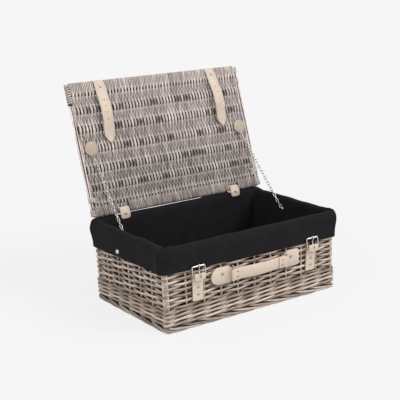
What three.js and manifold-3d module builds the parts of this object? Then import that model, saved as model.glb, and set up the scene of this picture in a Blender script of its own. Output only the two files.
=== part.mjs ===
// A lined willow picnic hamper with leather straps, standing with its lid open on two stay chains.
// Millimetres: +X runs along the front, +Y to the back and +Z up.
// The origin is the middle of the underside.

import * as THREE from 'three';
import { mergeVertices } from 'three/addons/utils/BufferGeometryUtils.js';
import Module from 'manifold-3d';

// Fits
const GAP = 0.3; // between pieces that touch
const TURNING_GAP = 0.4; // round a wire that turns in leather or metal
const OVERCUT = 2; // how far a cutter runs past what it cuts

// Willow body
const BODY_LENGTH = 448;
const BODY_WIDTH = 278;
const BODY_HEIGHT = 173;
const WALL = 11;
const CORNER_RADIUS = 12;
const BASE_THICKNESS = 12;
const FOOT_HEIGHT = 20;
const RIM_HEIGHT = 14;
const POST_RADIUS = 3.5;
const POST_SOCKET = 8; // how far a corner post runs into the foot border and into the rim

// Weave of the walls, in rows, and of the lid, in columns
const STAKE_PITCH = 41; // about, between the upright stakes
const ROW_PITCH = 5.7;
const ROW_DEPTH = 5; // how far a row stands out where it passes outside a stake
const STICK_PLACES = [0.11, 0.23, 0.37, 0.52, 0.655, 0.8, 0.92]; // shares of the way between the lid's rods
const STICK_THICKNESS = 3;
const COLUMN_PITCH = 13.8; // about, three rods side by side
const WEAVE_GROOVE = 0.8; // between a row or column and the next

// Cotton lining, turned down over the rim as a cuff
const CLOTH = 2.2;
const CUFF_HEIGHT = 54.5;

// Lid
const LID_OVERHANG = 6; // past each end of the body
const FRONT_OVERHANG = 9.8; // from the front wall's outer face to the front rod's axis
const ROD_RADIUS = 4;
const LID_THICKNESS = 12;
const LID_LIFT = 6.5; // from the cuff to the closed lid's inner face
const LID_OPEN = THREE.MathUtils.degToRad(108.5); // from closed to where the chains stop it
const ROD_INSET = 6; // from the back wall's outer face in to the rear rod's axis
const BINDING_WALL = 1.2;
const FRONT_BINDING = 32;
const REAR_BINDING = 16;

// Leather and rivets
const LEATHER = 2.1;
const RIVET_RADIUS = 3.6;
const SMALL_RIVET_RADIUS = 2.2;
const SHANK_RADIUS = 1.3;
const RIVET_DOME = 0.5; // a head's height as a share of its radius
const RIVET_BITE = 6; // how far a rivet's shank runs into the willow
const NOTCH_CLEARANCE = 1.5; // between a leather loop and the edge of its notch in the lid

// Hinge loops
const HINGE_INSET = 74; // from the end of the body to the middle of a loop
const HINGE_WIDTH = 23;
const HINGE_FLAP = 4; // how far the loop's end hangs below the top of the lining
const HINGE_END_RADIUS = 14;
const HINGE_RIVET = 0.6; // how far along the doubled leather, from the rod to the lining

// Closing straps on the lid and buckle straps on the front
const STRAP_INSET = 75; // from the end of the body to the middle of a strap
const STRAP_WIDTH = 26;
const STRAP_LENGTH = 138; // from the lid's front edge to the tip
const STRAP_POINT = 13;
const STRAP_TIP = 7; // width of the blunt tip
const STRAP_ARCH = 9; // how far the strap's middle stands off the lid
const STRAP_STEPS = 14;
const STRAP_RIVET = 9; // from the front rod's axis
const FOLD_LENGTH = 17; // from the front rod's axis to the end of the strap's turned-back layer
const FOLD_SAG = 0.67; // how much of its drop to the lid's inner face that layer makes by halfway
const STRAP_HOLES = 4;
const STRAP_HOLE_RADIUS = 1.5;
const STRAP_HOLE_PITCH = 14.3;
const STRAP_HOLE_START = 46; // from the lid's front edge
const BUCKLE_STRAP_DROP = 54; // from the buckle's lower bar to the strap's end
const BUCKLE_RIVET_DROPS = [26, 41];
const BUCKLE_FOLD = 9; // from the buckle's lower bar to the end of the leather in front of it

// Buckles
const WIRE = 2.6;
const WIRE_BEVEL = 0.6;
const BUCKLE_WIDTH = 33.4;
const BUCKLE_HEIGHT = 18.5;
const BUCKLE_CORNER = 3;
const BUCKLE_DROP = 61; // from the top of the willow to the lower bar
const BUCKLE_LEAN = THREE.MathUtils.degToRad(10);
const ROLLER_WALL = 0.6;
const ROLLER_LENGTH = 26;
const PRONG = 2.2;
const PRONG_BEND = 9.5; // from the lower bar to where the prong leans out over the roller
const PRONG_REACH = 4.5; // past the top bar
const PRONG_SLOT = 6;

// Front handle
const TAB_LENGTH = 47;
const TAB_HEIGHT = 36;
const TAB_BAR = 70; // from the middle of the front to the bar that each tab holds
const TAB_CORNER = 6;
const TAB_RIVET = 20; // from the bar to the tab's rivet
const TAB_RIVET_RISE = 4;
const HANDLE_DROP = 76; // from the top of the willow to the handle's middle
const HANDLE_STRAP_HEIGHT = 25;
const HANDLE_BOW = 6;
const HANDLE_STEPS = 12;
const HANDLE_FOLD = 20;
const HANDLE_RIVET = 12; // from the ring's bar
const HANDLE_RIVET_SPACING = 11;
const RING_LENGTH = 10; // between the ring's two upright bars
const RING_CORNER = 3;
const RING_SWING = THREE.MathUtils.degToRad(90); // how far the rings stand out from the front

// Stay chains
const PATCH_RADIUS = 17.5;
const PATCH_SIDES = 8;
const PATCH_INSET = 30; // from the lid's end to the middle of a patch
const PATCH_DISTANCE = 141.5; // from the lid's rear rod
const CHAIN_RADIUS = 2;
const ANCHOR_Y = 25;
const ANCHOR_DROP = 23; // from the top of the willow
const ANCHOR_RADIUS = 4;
const STUD_Y = 31;
const STUD_DROP = 41; // from the top of the willow
const STUD_RADIUS = 5;

// Facets
const ROUND_SIDES = 12;
const RIVET_SIDES = 10;
const CHAIN_SIDES = 8;
const CORNER_STEPS = 6;
const WIRE_STEPS = 3;
const HOLE_STEPS = 4;
const DOME_STEPS = 3;

// Places worked out from the sizes above
const FRONT = -BODY_WIDTH / 2;
const BACK = BODY_WIDTH / 2;
const LINING_TOP = BODY_HEIGHT + GAP + CLOTH;
const CUFF_BOTTOM = LINING_TOP - CUFF_HEIGHT;
const CUFF_OUT = GAP + CLOTH;
const LINING_IN = WALL + GAP + CLOTH;
const LID_LENGTH = BODY_LENGTH + 2 * LID_OVERHANG;
const ROD_SPAN = BODY_WIDTH - ROD_INSET + FRONT_OVERHANG; // from the rear rod's axis to the front rod's
const HINGE_X = BODY_LENGTH / 2 - HINGE_INSET;
const STRAP_X = BODY_LENGTH / 2 - STRAP_INSET;
const PATCH_X = LID_LENGTH / 2 - PATCH_INSET;
const HINGE_Y = BACK - ROD_INSET;
const HINGE_Z = LINING_TOP + LID_LIFT + LID_THICKNESS / 2;
const LOOP_BORE = ROD_RADIUS + GAP;
const LOOP_RADIUS = LOOP_BORE + LEATHER;
const BAR_BORE = WIRE / 2 + TURNING_GAP;
const BAR_LOOP = BAR_BORE + LEATHER;
const ROLLER_RADIUS = BAR_BORE + ROLLER_WALL;
const BUCKLE_Y = FRONT - CUFF_OUT - GAP - ROLLER_RADIUS - BUCKLE_HEIGHT * Math.sin(BUCKLE_LEAN);
const BUCKLE_BAR_HEIGHT = BODY_HEIGHT - BUCKLE_DROP;
const HANDLE_HEIGHT = BODY_HEIGHT - HANDLE_DROP;
const RING_Y = FRONT - GAP - BAR_LOOP;
const RING_HEIGHT = TAB_HEIGHT + 2 * TURNING_GAP + WIRE; // between its two level bars
const SIDES = { left: -1, right: 1 };

const { Manifold, Mesh: SolidMesh } = await loadSolids();

async function loadSolids() {
  const wasm = await Module();
  wasm.setup();
  return wasm;
}

// Solids: closed geometry that can be joined and cut

function solidOf(geometry) {
  const bare = geometry.index ? geometry.toNonIndexed() : geometry.clone();
  bare.deleteAttribute('normal');
  bare.deleteAttribute('uv');
  const merged = mergeVertices(bare, 1e-4);
  return new Manifold(new SolidMesh({
    numProp: 3,
    vertProperties: new Float32Array(merged.attributes.position.array),
    triVerts: new Uint32Array(merged.index.array),
  }));
}

function geometryOf(solid) {
  const { vertProperties, triVerts } = solid.getMesh();
  const geometry = new THREE.BufferGeometry();
  geometry.setAttribute('position', new THREE.BufferAttribute(vertProperties, 3));
  geometry.setIndex(new THREE.BufferAttribute(triVerts, 1));
  geometry.computeVertexNormals();
  return geometry;
}

function joined(solids) {
  return solids.reduce((whole, solid) => whole.add(solid));
}

function cut(solid, cutters) {
  return cutters.reduce((left, cutter) => left.subtract(cutter), solid);
}

// Outlines

function roundedRectangle(length, width, radius) {
  const x = length / 2 - radius;
  const y = width / 2 - radius;
  const shape = new THREE.Shape();
  shape.absarc(x, y, radius, 0, Math.PI / 2);
  shape.absarc(-x, y, radius, Math.PI / 2, Math.PI);
  shape.absarc(-x, -y, radius, Math.PI, 1.5 * Math.PI);
  shape.absarc(x, -y, radius, 1.5 * Math.PI, 2 * Math.PI);
  return shape;
}

function disc(radius, x = 0, y = 0) {
  const shape = new THREE.Shape();
  shape.absarc(x, y, radius, 0, 2 * Math.PI);
  return shape;
}

// The body's outline seen from above, moved out by a distance
function bodyOutline(out) {
  return roundedRectangle(BODY_LENGTH + 2 * out, BODY_WIDTH + 2 * out, Math.max(CORNER_RADIUS + out, GAP));
}

// A strip of even thickness along a line of points
function ribbon(points, thickness) {
  const sideAt = (i) => {
    const before = points[Math.max(i - 1, 0)];
    const after = points[Math.min(i + 1, points.length - 1)];
    const along = after.clone().sub(before).normalize();
    return new THREE.Vector2(-along.y, along.x).multiplyScalar(thickness / 2);
  };
  const leftEdge = points.map((place, i) => place.clone().add(sideAt(i)));
  const rightEdge = points.map((place, i) => place.clone().sub(sideAt(i)));
  return new THREE.Shape([...leftEdge, ...rightEdge.reverse()]);
}

function point(x, y) {
  return new THREE.Vector2(x, y);
}

// Extrusions along each axis

function extruded(shape, depth, curveSegments = CORNER_STEPS) {
  return new THREE.ExtrudeGeometry(shape, { depth, bevelEnabled: false, curveSegments });
}

function upright(shape, bottom, top, steps) {
  return solidOf(extruded(shape, top - bottom, steps).translate(0, 0, bottom));
}

// A (y, z) outline extruded along X
function acrossX(shape, width, middle = 0, steps = CORNER_STEPS) {
  const toYZ = new THREE.Matrix4().makeBasis(
    new THREE.Vector3(0, 1, 0),
    new THREE.Vector3(0, 0, 1),
    new THREE.Vector3(1, 0, 0),
  );
  return solidOf(extruded(shape, width, steps).applyMatrix4(toYZ).translate(middle - width / 2, 0, 0));
}

// An (x, z) outline extruded from y = back towards the front
function forwards(shape, back, depth, steps) {
  return solidOf(extruded(shape, depth, steps).rotateX(Math.PI / 2).translate(0, back, 0));
}

function boxSolid(low, high) {
  const size = high.clone().sub(low);
  const middle = low.clone().add(high).multiplyScalar(0.5);
  return solidOf(new THREE.BoxGeometry(size.x, size.y, size.z).translate(middle.x, middle.y, middle.z));
}

function rodAlongX(radius, length, sides = ROUND_SIDES) {
  return new THREE.CylinderGeometry(radius, radius, length, sides).rotateZ(Math.PI / 2);
}

// A closed frame of bevelled wire around an (x, y) opening, centred on z = 0
function wireFrame(length, width, corner) {
  const depth = WIRE - 2 * WIRE_BEVEL;
  const shape = roundedRectangle(length + depth, width + depth, corner);
  shape.holes.push(roundedRectangle(length - depth, width - depth, corner / 2));
  return new THREE.ExtrudeGeometry(shape, {
    depth,
    bevelThickness: WIRE_BEVEL,
    bevelSize: WIRE_BEVEL,
    bevelSegments: 1,
    curveSegments: WIRE_STEPS,
  }).translate(0, 0, -depth / 2);
}

// Finishes

const willow = () => new THREE.MeshStandardMaterial({ color: 0xa89a8e, roughness: 0.8 });
const leather = () => new THREE.MeshStandardMaterial({ color: 0xdcc9b4, roughness: 0.6 });
const cotton = () => new THREE.MeshStandardMaterial({ color: 0x242225, roughness: 0.95 });
const raffia = () => new THREE.MeshStandardMaterial({ color: 0xb9a58d, roughness: 0.85 });
const steel = () => new THREE.MeshStandardMaterial({ color: 0xc9c9cb, roughness: 0.3, metalness: 1 });

const hamper = new THREE.Group();
hamper.name = 'picnic_hamper';

function addPiece(parent, name, shape, material) {
  const geometry = shape instanceof THREE.BufferGeometry ? shape : geometryOf(shape);
  const piece = new THREE.Mesh(geometry, material);
  piece.name = name;
  parent.add(piece);
  return piece;
}

// Rivets: a domed head on a straight shank

function rivetSpec(at, facing, reach, radius = RIVET_RADIUS) {
  return { at, facing: facing.clone().normalize(), reach, radius };
}

function turnedTo(geometry, { at, facing }) {
  const turn = new THREE.Quaternion().setFromUnitVectors(new THREE.Vector3(0, 1, 0), facing);
  return geometry.applyQuaternion(turn).translate(at.x, at.y, at.z);
}

function rivetGeometry(spec) {
  const height = spec.radius * RIVET_DOME;
  const profile = [point(0, -spec.reach), point(SHANK_RADIUS, -spec.reach), point(SHANK_RADIUS, 0)];
  for (let step = 0; step < DOME_STEPS; step += 1) {
    const angle = ((step / DOME_STEPS) * Math.PI) / 2;
    profile.push(point(spec.radius * Math.cos(angle), height * Math.sin(angle)));
  }
  profile.push(point(0, height));
  return turnedTo(new THREE.LatheGeometry(profile, RIVET_SIDES), spec);
}

function rivetHole(spec) {
  const length = spec.reach + GAP + OVERCUT;
  const radius = SHANK_RADIUS + GAP;
  const hole = new THREE.CylinderGeometry(radius, radius, length, RIVET_SIDES);
  hole.translate(0, OVERCUT - length / 2, 0);
  return solidOf(turnedTo(hole, spec));
}

const rivetHoles = (specs) => specs.map(rivetHole);
const towardsFront = new THREE.Vector3(0, -1, 0);

const buckleRivets = {};
const tabRivets = {};
const anchors = {};
const studs = {};
const tabFace = FRONT - GAP - 2 * LEATHER;
for (const [side, sign] of Object.entries(SIDES)) {
  buckleRivets[side] = BUCKLE_RIVET_DROPS.map((drop) => rivetSpec(
    new THREE.Vector3(sign * STRAP_X, FRONT - LEATHER - 2 * GAP, BUCKLE_BAR_HEIGHT - drop),
    towardsFront,
    LEATHER + 2 * GAP + RIVET_BITE,
  ));
  tabRivets[side] = rivetSpec(
    new THREE.Vector3(sign * (TAB_BAR + TAB_RIVET), tabFace - GAP, HANDLE_HEIGHT + TAB_RIVET_RISE),
    towardsFront,
    2 * LEATHER + 2 * GAP + RIVET_BITE,
  );
  studs[side] = rivetSpec(
    new THREE.Vector3(sign * (BODY_LENGTH / 2 + CUFF_OUT + GAP), STUD_Y, BODY_HEIGHT - STUD_DROP),
    new THREE.Vector3(sign, 0, 0),
    CUFF_OUT + GAP + RIVET_BITE,
    STUD_RADIUS,
  );
  anchors[side] = rivetSpec(
    new THREE.Vector3(sign * (BODY_LENGTH / 2 - LINING_IN - GAP), ANCHOR_Y, BODY_HEIGHT - ANCHOR_DROP),
    new THREE.Vector3(-sign, 0, 0),
    CLOTH + 2 * GAP + RIVET_BITE,
    ANCHOR_RADIUS,
  );
}
const wallRivets = Object.keys(SIDES).flatMap((side) => [
  ...buckleRivets[side],
  tabRivets[side],
  studs[side],
  anchors[side],
]);
const liningRivets = Object.keys(SIDES).flatMap((side) => [studs[side], anchors[side]]);

// Willow body: a base, a foot border, the woven walls and a rim, on four corner posts

function ringOf(bottom, top) {
  const shape = bodyOutline(0);
  shape.holes.push(bodyOutline(-WALL));
  return upright(shape, bottom, top);
}

function postAt(signX, signY, radius, bottom, top) {
  const x = signX * (BODY_LENGTH / 2 - CORNER_RADIUS + (CORNER_RADIUS - WALL / 2) * Math.SQRT1_2);
  const y = signY * (BODY_WIDTH / 2 - CORNER_RADIUS + (CORNER_RADIUS - WALL / 2) * Math.SQRT1_2);
  const post = new THREE.CylinderGeometry(radius, radius, top - bottom, ROUND_SIDES);
  return post.rotateX(Math.PI / 2).translate(x, y, (bottom + top) / 2);
}

const postBottom = FOOT_HEIGHT - POST_SOCKET;
const postTop = BODY_HEIGHT - RIM_HEIGHT + POST_SOCKET;
const corners = {
  front_left: [-1, -1],
  front_right: [1, -1],
  back_left: [-1, 1],
  back_right: [1, 1],
};
const postBores = Object.values(corners).map(([signX, signY]) => (
  solidOf(postAt(signX, signY, POST_RADIUS + GAP, postBottom - GAP, postTop + GAP))
));

const basePanel = upright(bodyOutline(-WALL - GAP), 0, BASE_THICKNESS);
addPiece(hamper, 'base_panel', basePanel, willow());
addPiece(hamper, 'foot_border', cut(ringOf(0, FOOT_HEIGHT), postBores), willow());

// The walls are rows of rods round upright stakes. A row stands out where it passes outside a stake,
// which it does at every other one, and the next row does at the ones between.
// Under the cuff the walls stay plain.
const cornerX = BODY_LENGTH / 2 - CORNER_RADIUS;
const cornerY = BODY_WIDTH / 2 - CORNER_RADIUS;
const wallSides = [
  { start: point(-cornerX, FRONT), end: point(cornerX, FRONT), inwards: point(0, 1) },
  { start: point(BODY_LENGTH / 2, -cornerY), end: point(BODY_LENGTH / 2, cornerY), inwards: point(-1, 0) },
  { start: point(cornerX, BACK), end: point(-cornerX, BACK), inwards: point(0, -1) },
  { start: point(-BODY_LENGTH / 2, cornerY), end: point(-BODY_LENGTH / 2, -cornerY), inwards: point(1, 0) },
].map((side) => ({ ...side, bays: Math.round(side.start.distanceTo(side.end) / STAKE_PITCH) }));

// A point on a side, counted in stakes along it and in millimetres into the wall
function onSide({ start, end, inwards, bays }, stake, depth) {
  return start.clone().lerp(end, stake / bays).addScaledVector(inwards, depth);
}

const wallBottom = FOOT_HEIGHT + GAP;
const wallTop = BODY_HEIGHT - RIM_HEIGHT - GAP;
const rowCount = Math.floor((CUFF_BOTTOM - wallBottom) / ROW_PITCH);
const rowsTop = wallBottom + rowCount * ROW_PITCH;

function stakeLine(side) {
  return upright(new THREE.Shape([
    onSide(side, 0, -OVERCUT),
    onSide(side, side.bays, -OVERCUT),
    onSide(side, side.bays, 0),
    onSide(side, side.bays - 1, ROW_DEPTH),
    onSide(side, 1, ROW_DEPTH),
    onSide(side, 0, 0),
  ]), wallBottom - OVERCUT, rowsTop);
}

function rowOutside(side, row, stake) {
  const bottom = wallBottom + row * ROW_PITCH + WEAVE_GROOVE / 2;
  return upright(new THREE.Shape([
    onSide(side, stake - 1, ROW_DEPTH + GAP),
    onSide(side, stake, 0),
    onSide(side, stake + 1, ROW_DEPTH + GAP),
  ]), bottom, bottom + ROW_PITCH - WEAVE_GROOVE);
}

const wallRows = [];
for (const side of wallSides) {
  for (let row = 0; row < rowCount; row += 1) {
    for (let stake = 1 + (row % 2); stake < side.bays; stake += 2) {
      wallRows.push(rowOutside(side, row, stake));
    }
  }
}
const wallCore = cut(ringOf(wallBottom, wallTop), wallSides.map(stakeLine));
const wallWeave = cut(joined([wallCore, ...wallRows]), [...postBores, ...rivetHoles(wallRivets)]);
addPiece(hamper, 'wall_weave', wallWeave, willow());
addPiece(hamper, 'rim', cut(ringOf(BODY_HEIGHT - RIM_HEIGHT, BODY_HEIGHT), postBores), willow());
for (const [corner, [signX, signY]] of Object.entries(corners)) {
  const post = postAt(signX, signY, POST_RADIUS, postBottom, postTop);
  addPiece(hamper, `corner_post_${corner}`, post, willow());
}

// Lining: a bag inside the walls, over the rim and down outside as a cuff

const liningFloor = BASE_THICKNESS + GAP;
const cuff = upright(bodyOutline(CUFF_OUT), CUFF_BOTTOM, LINING_TOP);
const insideCuff = upright(bodyOutline(GAP), CUFF_BOTTOM - OVERCUT, BODY_HEIGHT + GAP);
const bag = upright(bodyOutline(-WALL - GAP), liningFloor, LINING_TOP);
const insideBag = upright(bodyOutline(-LINING_IN), liningFloor + CLOTH, LINING_TOP + OVERCUT);
const lining = cut(joined([cut(cuff, [insideCuff]), bag]), [insideBag, ...rivetHoles(liningRivets)]);
addPiece(hamper, 'lining', lining, cotton());

// Lid, built closed about its rear rod and then swung open

const lid = new THREE.Group();
lid.position.set(0, HINGE_Y, HINGE_Z);
lid.rotation.x = -LID_OPEN;
hamper.add(lid);
lid.updateMatrixWorld(true);

const bindingRadius = ROD_RADIUS + GAP + BINDING_WALL;
const sideRodX = LID_LENGTH / 2 - bindingRadius;
const weaveLength = 2 * (sideRodX - bindingRadius - GAP);
const innerFace = -LID_THICKNESS / 2;

// The hinge loop's end hangs inside the back wall's lining: its place from the rear rod
const flapY = BACK - LINING_IN - GAP - LEATHER / 2 - HINGE_Y;
const flapTop = LINING_TOP + LEATHER + GAP - HINGE_Z;
const flapBottom = LINING_TOP - HINGE_FLAP - HINGE_Z;

// The lid's rods run from front to rear and are rolled round its two long rods.
// They stand out on one face where they pass over a stick, and on the other where they pass under.
function columnOutside(stick, face, middle, width) {
  const places = [0, ...STICK_PLACES, 1].map((share) => -share * ROD_SPAN);
  const base = face * (STICK_THICKNESS / 2 - GAP);
  return acrossX(new THREE.Shape([
    point(places[stick - 1], base),
    point(places[stick], (face * LID_THICKNESS) / 2),
    point(places[stick + 1], base),
  ]), width, middle);
}

function lidWeave() {
  const half = STICK_THICKNESS / 2;
  const count = Math.round(weaveLength / COLUMN_PITCH);
  const pitch = weaveLength / count;
  const pieces = [0, -ROD_SPAN].map((y) => acrossX(disc(LID_THICKNESS / 2, y, 0), weaveLength));
  const sticks = [point(0, -half), point(0, half), point(-ROD_SPAN, half), point(-ROD_SPAN, -half)];
  pieces.push(acrossX(new THREE.Shape(sticks), weaveLength));
  for (let column = 0; column < count; column += 1) {
    const middle = (column + 0.5) * pitch - weaveLength / 2;
    for (let stick = 1; stick <= STICK_PLACES.length; stick += 1) {
      const face = (column + stick) % 2 === 0 ? 1 : -1;
      pieces.push(columnOutside(stick, face, middle, pitch - WEAVE_GROOVE));
    }
  }
  return joined(pieces);
}

function notch(x, width, rear, front) {
  const reach = LID_THICKNESS;
  return boxSolid(
    new THREE.Vector3(x - width / 2 - NOTCH_CLEARANCE, front, -reach),
    new THREE.Vector3(x + width / 2 + NOTCH_CLEARANCE, rear, reach),
  );
}

const lidCutters = [0, -ROD_SPAN].map((y) => (
  solidOf(rodAlongX(ROD_RADIUS + GAP, LID_LENGTH + OVERCUT).translate(0, y, 0))
));
for (const sign of Object.values(SIDES)) {
  const hingeFront = flapY - LEATHER / 2 - NOTCH_CLEARANCE;
  lidCutters.push(notch(sign * HINGE_X, HINGE_WIDTH, LID_THICKNESS, hingeFront));
  const strapRear = FOLD_LENGTH + NOTCH_CLEARANCE - ROD_SPAN;
  lidCutters.push(notch(sign * STRAP_X, STRAP_WIDTH, strapRear, -ROD_SPAN - LID_THICKNESS));
}
addPiece(lid, 'lid_weave', cut(lidWeave(), lidCutters), willow());
addPiece(lid, 'lid_rear_rod', rodAlongX(ROD_RADIUS, LID_LENGTH), willow());
addPiece(lid, 'lid_front_rod', rodAlongX(ROD_RADIUS, LID_LENGTH).translate(0, -ROD_SPAN, 0), willow());

const sideRodLength = ROD_SPAN - 2 * (ROD_RADIUS + GAP);
function sleeve(x, middle, length) {
  const shape = disc(bindingRadius);
  shape.holes.push(disc(ROD_RADIUS + GAP));
  const tube = extruded(shape, length, CORNER_STEPS);
  return tube.rotateX(-Math.PI / 2).translate(x, middle - length / 2, 0);
}
for (const [side, sign] of Object.entries(SIDES)) {
  const x = sign * sideRodX;
  const rod = new THREE.CylinderGeometry(ROD_RADIUS, ROD_RADIUS, sideRodLength, ROUND_SIDES);
  addPiece(lid, `lid_side_rod_${side}`, rod.translate(x, -ROD_SPAN / 2, 0), willow());
  const rearMiddle = -ROD_RADIUS - GAP - REAR_BINDING / 2;
  const frontMiddle = -ROD_SPAN + ROD_RADIUS + GAP + FRONT_BINDING / 2;
  addPiece(lid, `corner_binding_rear_${side}`, sleeve(x, rearMiddle, REAR_BINDING), raffia());
  addPiece(lid, `corner_binding_front_${side}`, sleeve(x, frontMiddle, FRONT_BINDING), raffia());
  const patch = disc(PATCH_RADIUS);
  const patchSolid = upright(patch, innerFace - GAP - LEATHER, innerFace - GAP, PATCH_SIDES / 2);
  const patchPiece = addPiece(lid, `chain_patch_${side}`, patchSolid, leather());
  patchPiece.position.set(sign * PATCH_X, -PATCH_DISTANCE, 0);
}

// Hinge loops: leather round the rear rod, doubled and riveted, with its end inside the lining

function hingeLoop() {
  const ring = acrossX(disc(LOOP_RADIUS), HINGE_WIDTH);
  const tail = acrossX(ribbon([point(-ROD_RADIUS, 0), point(flapY, flapTop)], 2 * LEATHER), HINGE_WIDTH);
  const flap = acrossX(ribbon([point(flapY, flapTop), point(flapY, flapBottom)], LEATHER), HINGE_WIDTH);
  const bore = solidOf(rodAlongX(LOOP_BORE, HINGE_WIDTH + OVERCUT));
  const outline = new THREE.Shape();
  const halfAngle = Math.asin(HINGE_WIDTH / 2 / HINGE_END_RADIUS);
  const endMiddle = flapBottom + HINGE_END_RADIUS;
  outline.absarc(0, endMiddle, HINGE_END_RADIUS, -Math.PI / 2 - halfAngle, -Math.PI / 2 + halfAngle);
  outline.lineTo(HINGE_WIDTH / 2, 2 * LOOP_RADIUS);
  outline.lineTo(-HINGE_WIDTH / 2, 2 * LOOP_RADIUS);
  const blank = forwards(outline, 2 * LOOP_RADIUS, 4 * LOOP_RADIUS - flapY);
  return cut(joined([ring, tail, flap]).intersect(blank), [bore]);
}

const tailAlong = point(flapY + ROD_RADIUS, flapTop);
const tailOut = point(tailAlong.y, -tailAlong.x).normalize();
const hingeRivetAt = point(-ROD_RADIUS, 0)
  .addScaledVector(tailAlong, HINGE_RIVET)
  .addScaledVector(tailOut, LEATHER + GAP);
for (const [side, sign] of Object.entries(SIDES)) {
  const hinge = new THREE.Group();
  hinge.position.set(sign * HINGE_X, HINGE_Y, HINGE_Z);
  hamper.add(hinge);
  const rivet = rivetSpec(
    new THREE.Vector3(0, hingeRivetAt.x, hingeRivetAt.y),
    new THREE.Vector3(0, tailOut.x, tailOut.y),
    2 * LEATHER + GAP,
  );
  addPiece(hinge, `hinge_loop_${side}`, cut(hingeLoop(), [rivetHole(rivet)]), leather());
  addPiece(hinge, `hinge_rivet_${side}`, rivetGeometry(rivet), steel());
}

// Closing straps: looped round the lid's front rod and riveted, lying along the lid's inner face

const strapReach = STRAP_LENGTH - LOOP_RADIUS;
function strapLine() {
  const onFace = innerFace - GAP - LEATHER / 2;
  const points = [point(0, -LOOP_BORE - LEATHER / 2)];
  for (let step = 1; step <= STRAP_STEPS; step += 1) {
    const along = step / STRAP_STEPS;
    points.push(point(along * strapReach, onFace - STRAP_ARCH * Math.sin(Math.PI * along) ** 2));
  }
  return points;
}

function strapOutline() {
  const half = STRAP_WIDTH / 2;
  return new THREE.Shape([
    point(-half, -2 * LOOP_RADIUS),
    point(half, -2 * LOOP_RADIUS),
    point(half, strapReach - STRAP_POINT),
    point(STRAP_TIP / 2, strapReach),
    point(-STRAP_TIP / 2, strapReach),
    point(-half, strapReach - STRAP_POINT),
  ]);
}

function closingStrap(rivet) {
  const ring = acrossX(disc(LOOP_RADIUS), STRAP_WIDTH);
  const face = acrossX(ribbon(strapLine(), LEATHER), STRAP_WIDTH);
  const foldEnd = innerFace - GAP;
  const foldStart = point(LOOP_BORE + LEATHER / 2, 0);
  const foldMiddle = point((foldStart.x + FOLD_LENGTH) / 2, FOLD_SAG * foldEnd);
  const turnedBack = ribbon([foldStart, foldMiddle, point(FOLD_LENGTH, foldEnd)], LEATHER);
  const fold = acrossX(turnedBack, STRAP_WIDTH);
  const blank = upright(strapOutline(), -4 * LOOP_RADIUS - STRAP_ARCH, 2 * LOOP_RADIUS);
  const holes = [];
  for (let i = 0; i < STRAP_HOLES; i += 1) {
    const y = STRAP_HOLE_START - LOOP_RADIUS + i * STRAP_HOLE_PITCH;
    const hole = disc(STRAP_HOLE_RADIUS, 0, y);
    holes.push(upright(hole, -4 * LOOP_RADIUS - STRAP_ARCH, 0, HOLE_STEPS));
  }
  const bore = solidOf(rodAlongX(LOOP_BORE, STRAP_WIDTH + OVERCUT));
  return cut(joined([ring, face, fold]).intersect(blank), [bore, rivetHole(rivet), ...holes]);
}

for (const [side, sign] of Object.entries(SIDES)) {
  const strap = new THREE.Group();
  strap.position.set(sign * STRAP_X, -ROD_SPAN, 0);
  lid.add(strap);
  const [first, second] = strapLine();
  const along = second.clone().sub(first).normalize();
  const out = point(along.y, -along.x);
  const under = first.addScaledVector(along, STRAP_RIVET).addScaledVector(out, LEATHER / 2 + GAP);
  const rivet = rivetSpec(
    new THREE.Vector3(0, under.x, under.y),
    new THREE.Vector3(0, out.x, out.y),
    3 * LEATHER,
  );
  addPiece(strap, `closing_strap_${side}`, closingStrap(rivet), leather());
  addPiece(strap, `closing_strap_rivet_${side}`, rivetGeometry(rivet), steel());
}

// Buckle straps: riveted to the front wall, folded over the buckle's lower bar

function buckleStrap(rivets) {
  const back = FRONT - GAP - LEATHER / 2;
  const plate = [
    point(back, BUCKLE_BAR_HEIGHT - BUCKLE_STRAP_DROP),
    point(back, BUCKLE_BAR_HEIGHT - 2 * BAR_LOOP),
    point(BUCKLE_Y + BAR_BORE + LEATHER / 2, BUCKLE_BAR_HEIGHT),
  ];
  const end = BUCKLE_Y - BAR_BORE - LEATHER / 2;
  const front = [point(end, BUCKLE_BAR_HEIGHT), point(end, BUCKLE_BAR_HEIGHT - BUCKLE_FOLD)];
  const loop = acrossX(disc(BAR_LOOP, BUCKLE_Y, BUCKLE_BAR_HEIGHT), STRAP_WIDTH);
  const bar = rodAlongX(BAR_BORE, STRAP_WIDTH + OVERCUT);
  const bore = solidOf(bar.translate(0, BUCKLE_Y, BUCKLE_BAR_HEIGHT));
  const slot = boxSolid(
    new THREE.Vector3(-PRONG_SLOT / 2, BUCKLE_Y - 2 * BAR_LOOP, BUCKLE_BAR_HEIGHT - BAR_LOOP),
    new THREE.Vector3(PRONG_SLOT / 2, BUCKLE_Y + 2 * BAR_LOOP, BUCKLE_BAR_HEIGHT + 2 * BAR_LOOP),
  );
  const leatherBody = joined([
    acrossX(ribbon(plate, LEATHER), STRAP_WIDTH),
    acrossX(ribbon(front, LEATHER), STRAP_WIDTH),
    loop,
  ]);
  return cut(leatherBody, [bore, slot, ...rivetHoles(rivets)]);
}

// Buckles: a wire frame with a roller on its top bar and a prong on its lower bar

function buckleFrame() {
  return wireFrame(BUCKLE_WIDTH, BUCKLE_HEIGHT, BUCKLE_CORNER)
    .rotateX(Math.PI / 2)
    .translate(0, 0, BUCKLE_HEIGHT / 2);
}

function buckleRoller() {
  const shape = disc(ROLLER_RADIUS, 0, BUCKLE_HEIGHT);
  shape.holes.push(disc(BAR_BORE, 0, BUCKLE_HEIGHT));
  return acrossX(shape, ROLLER_LENGTH);
}

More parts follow.
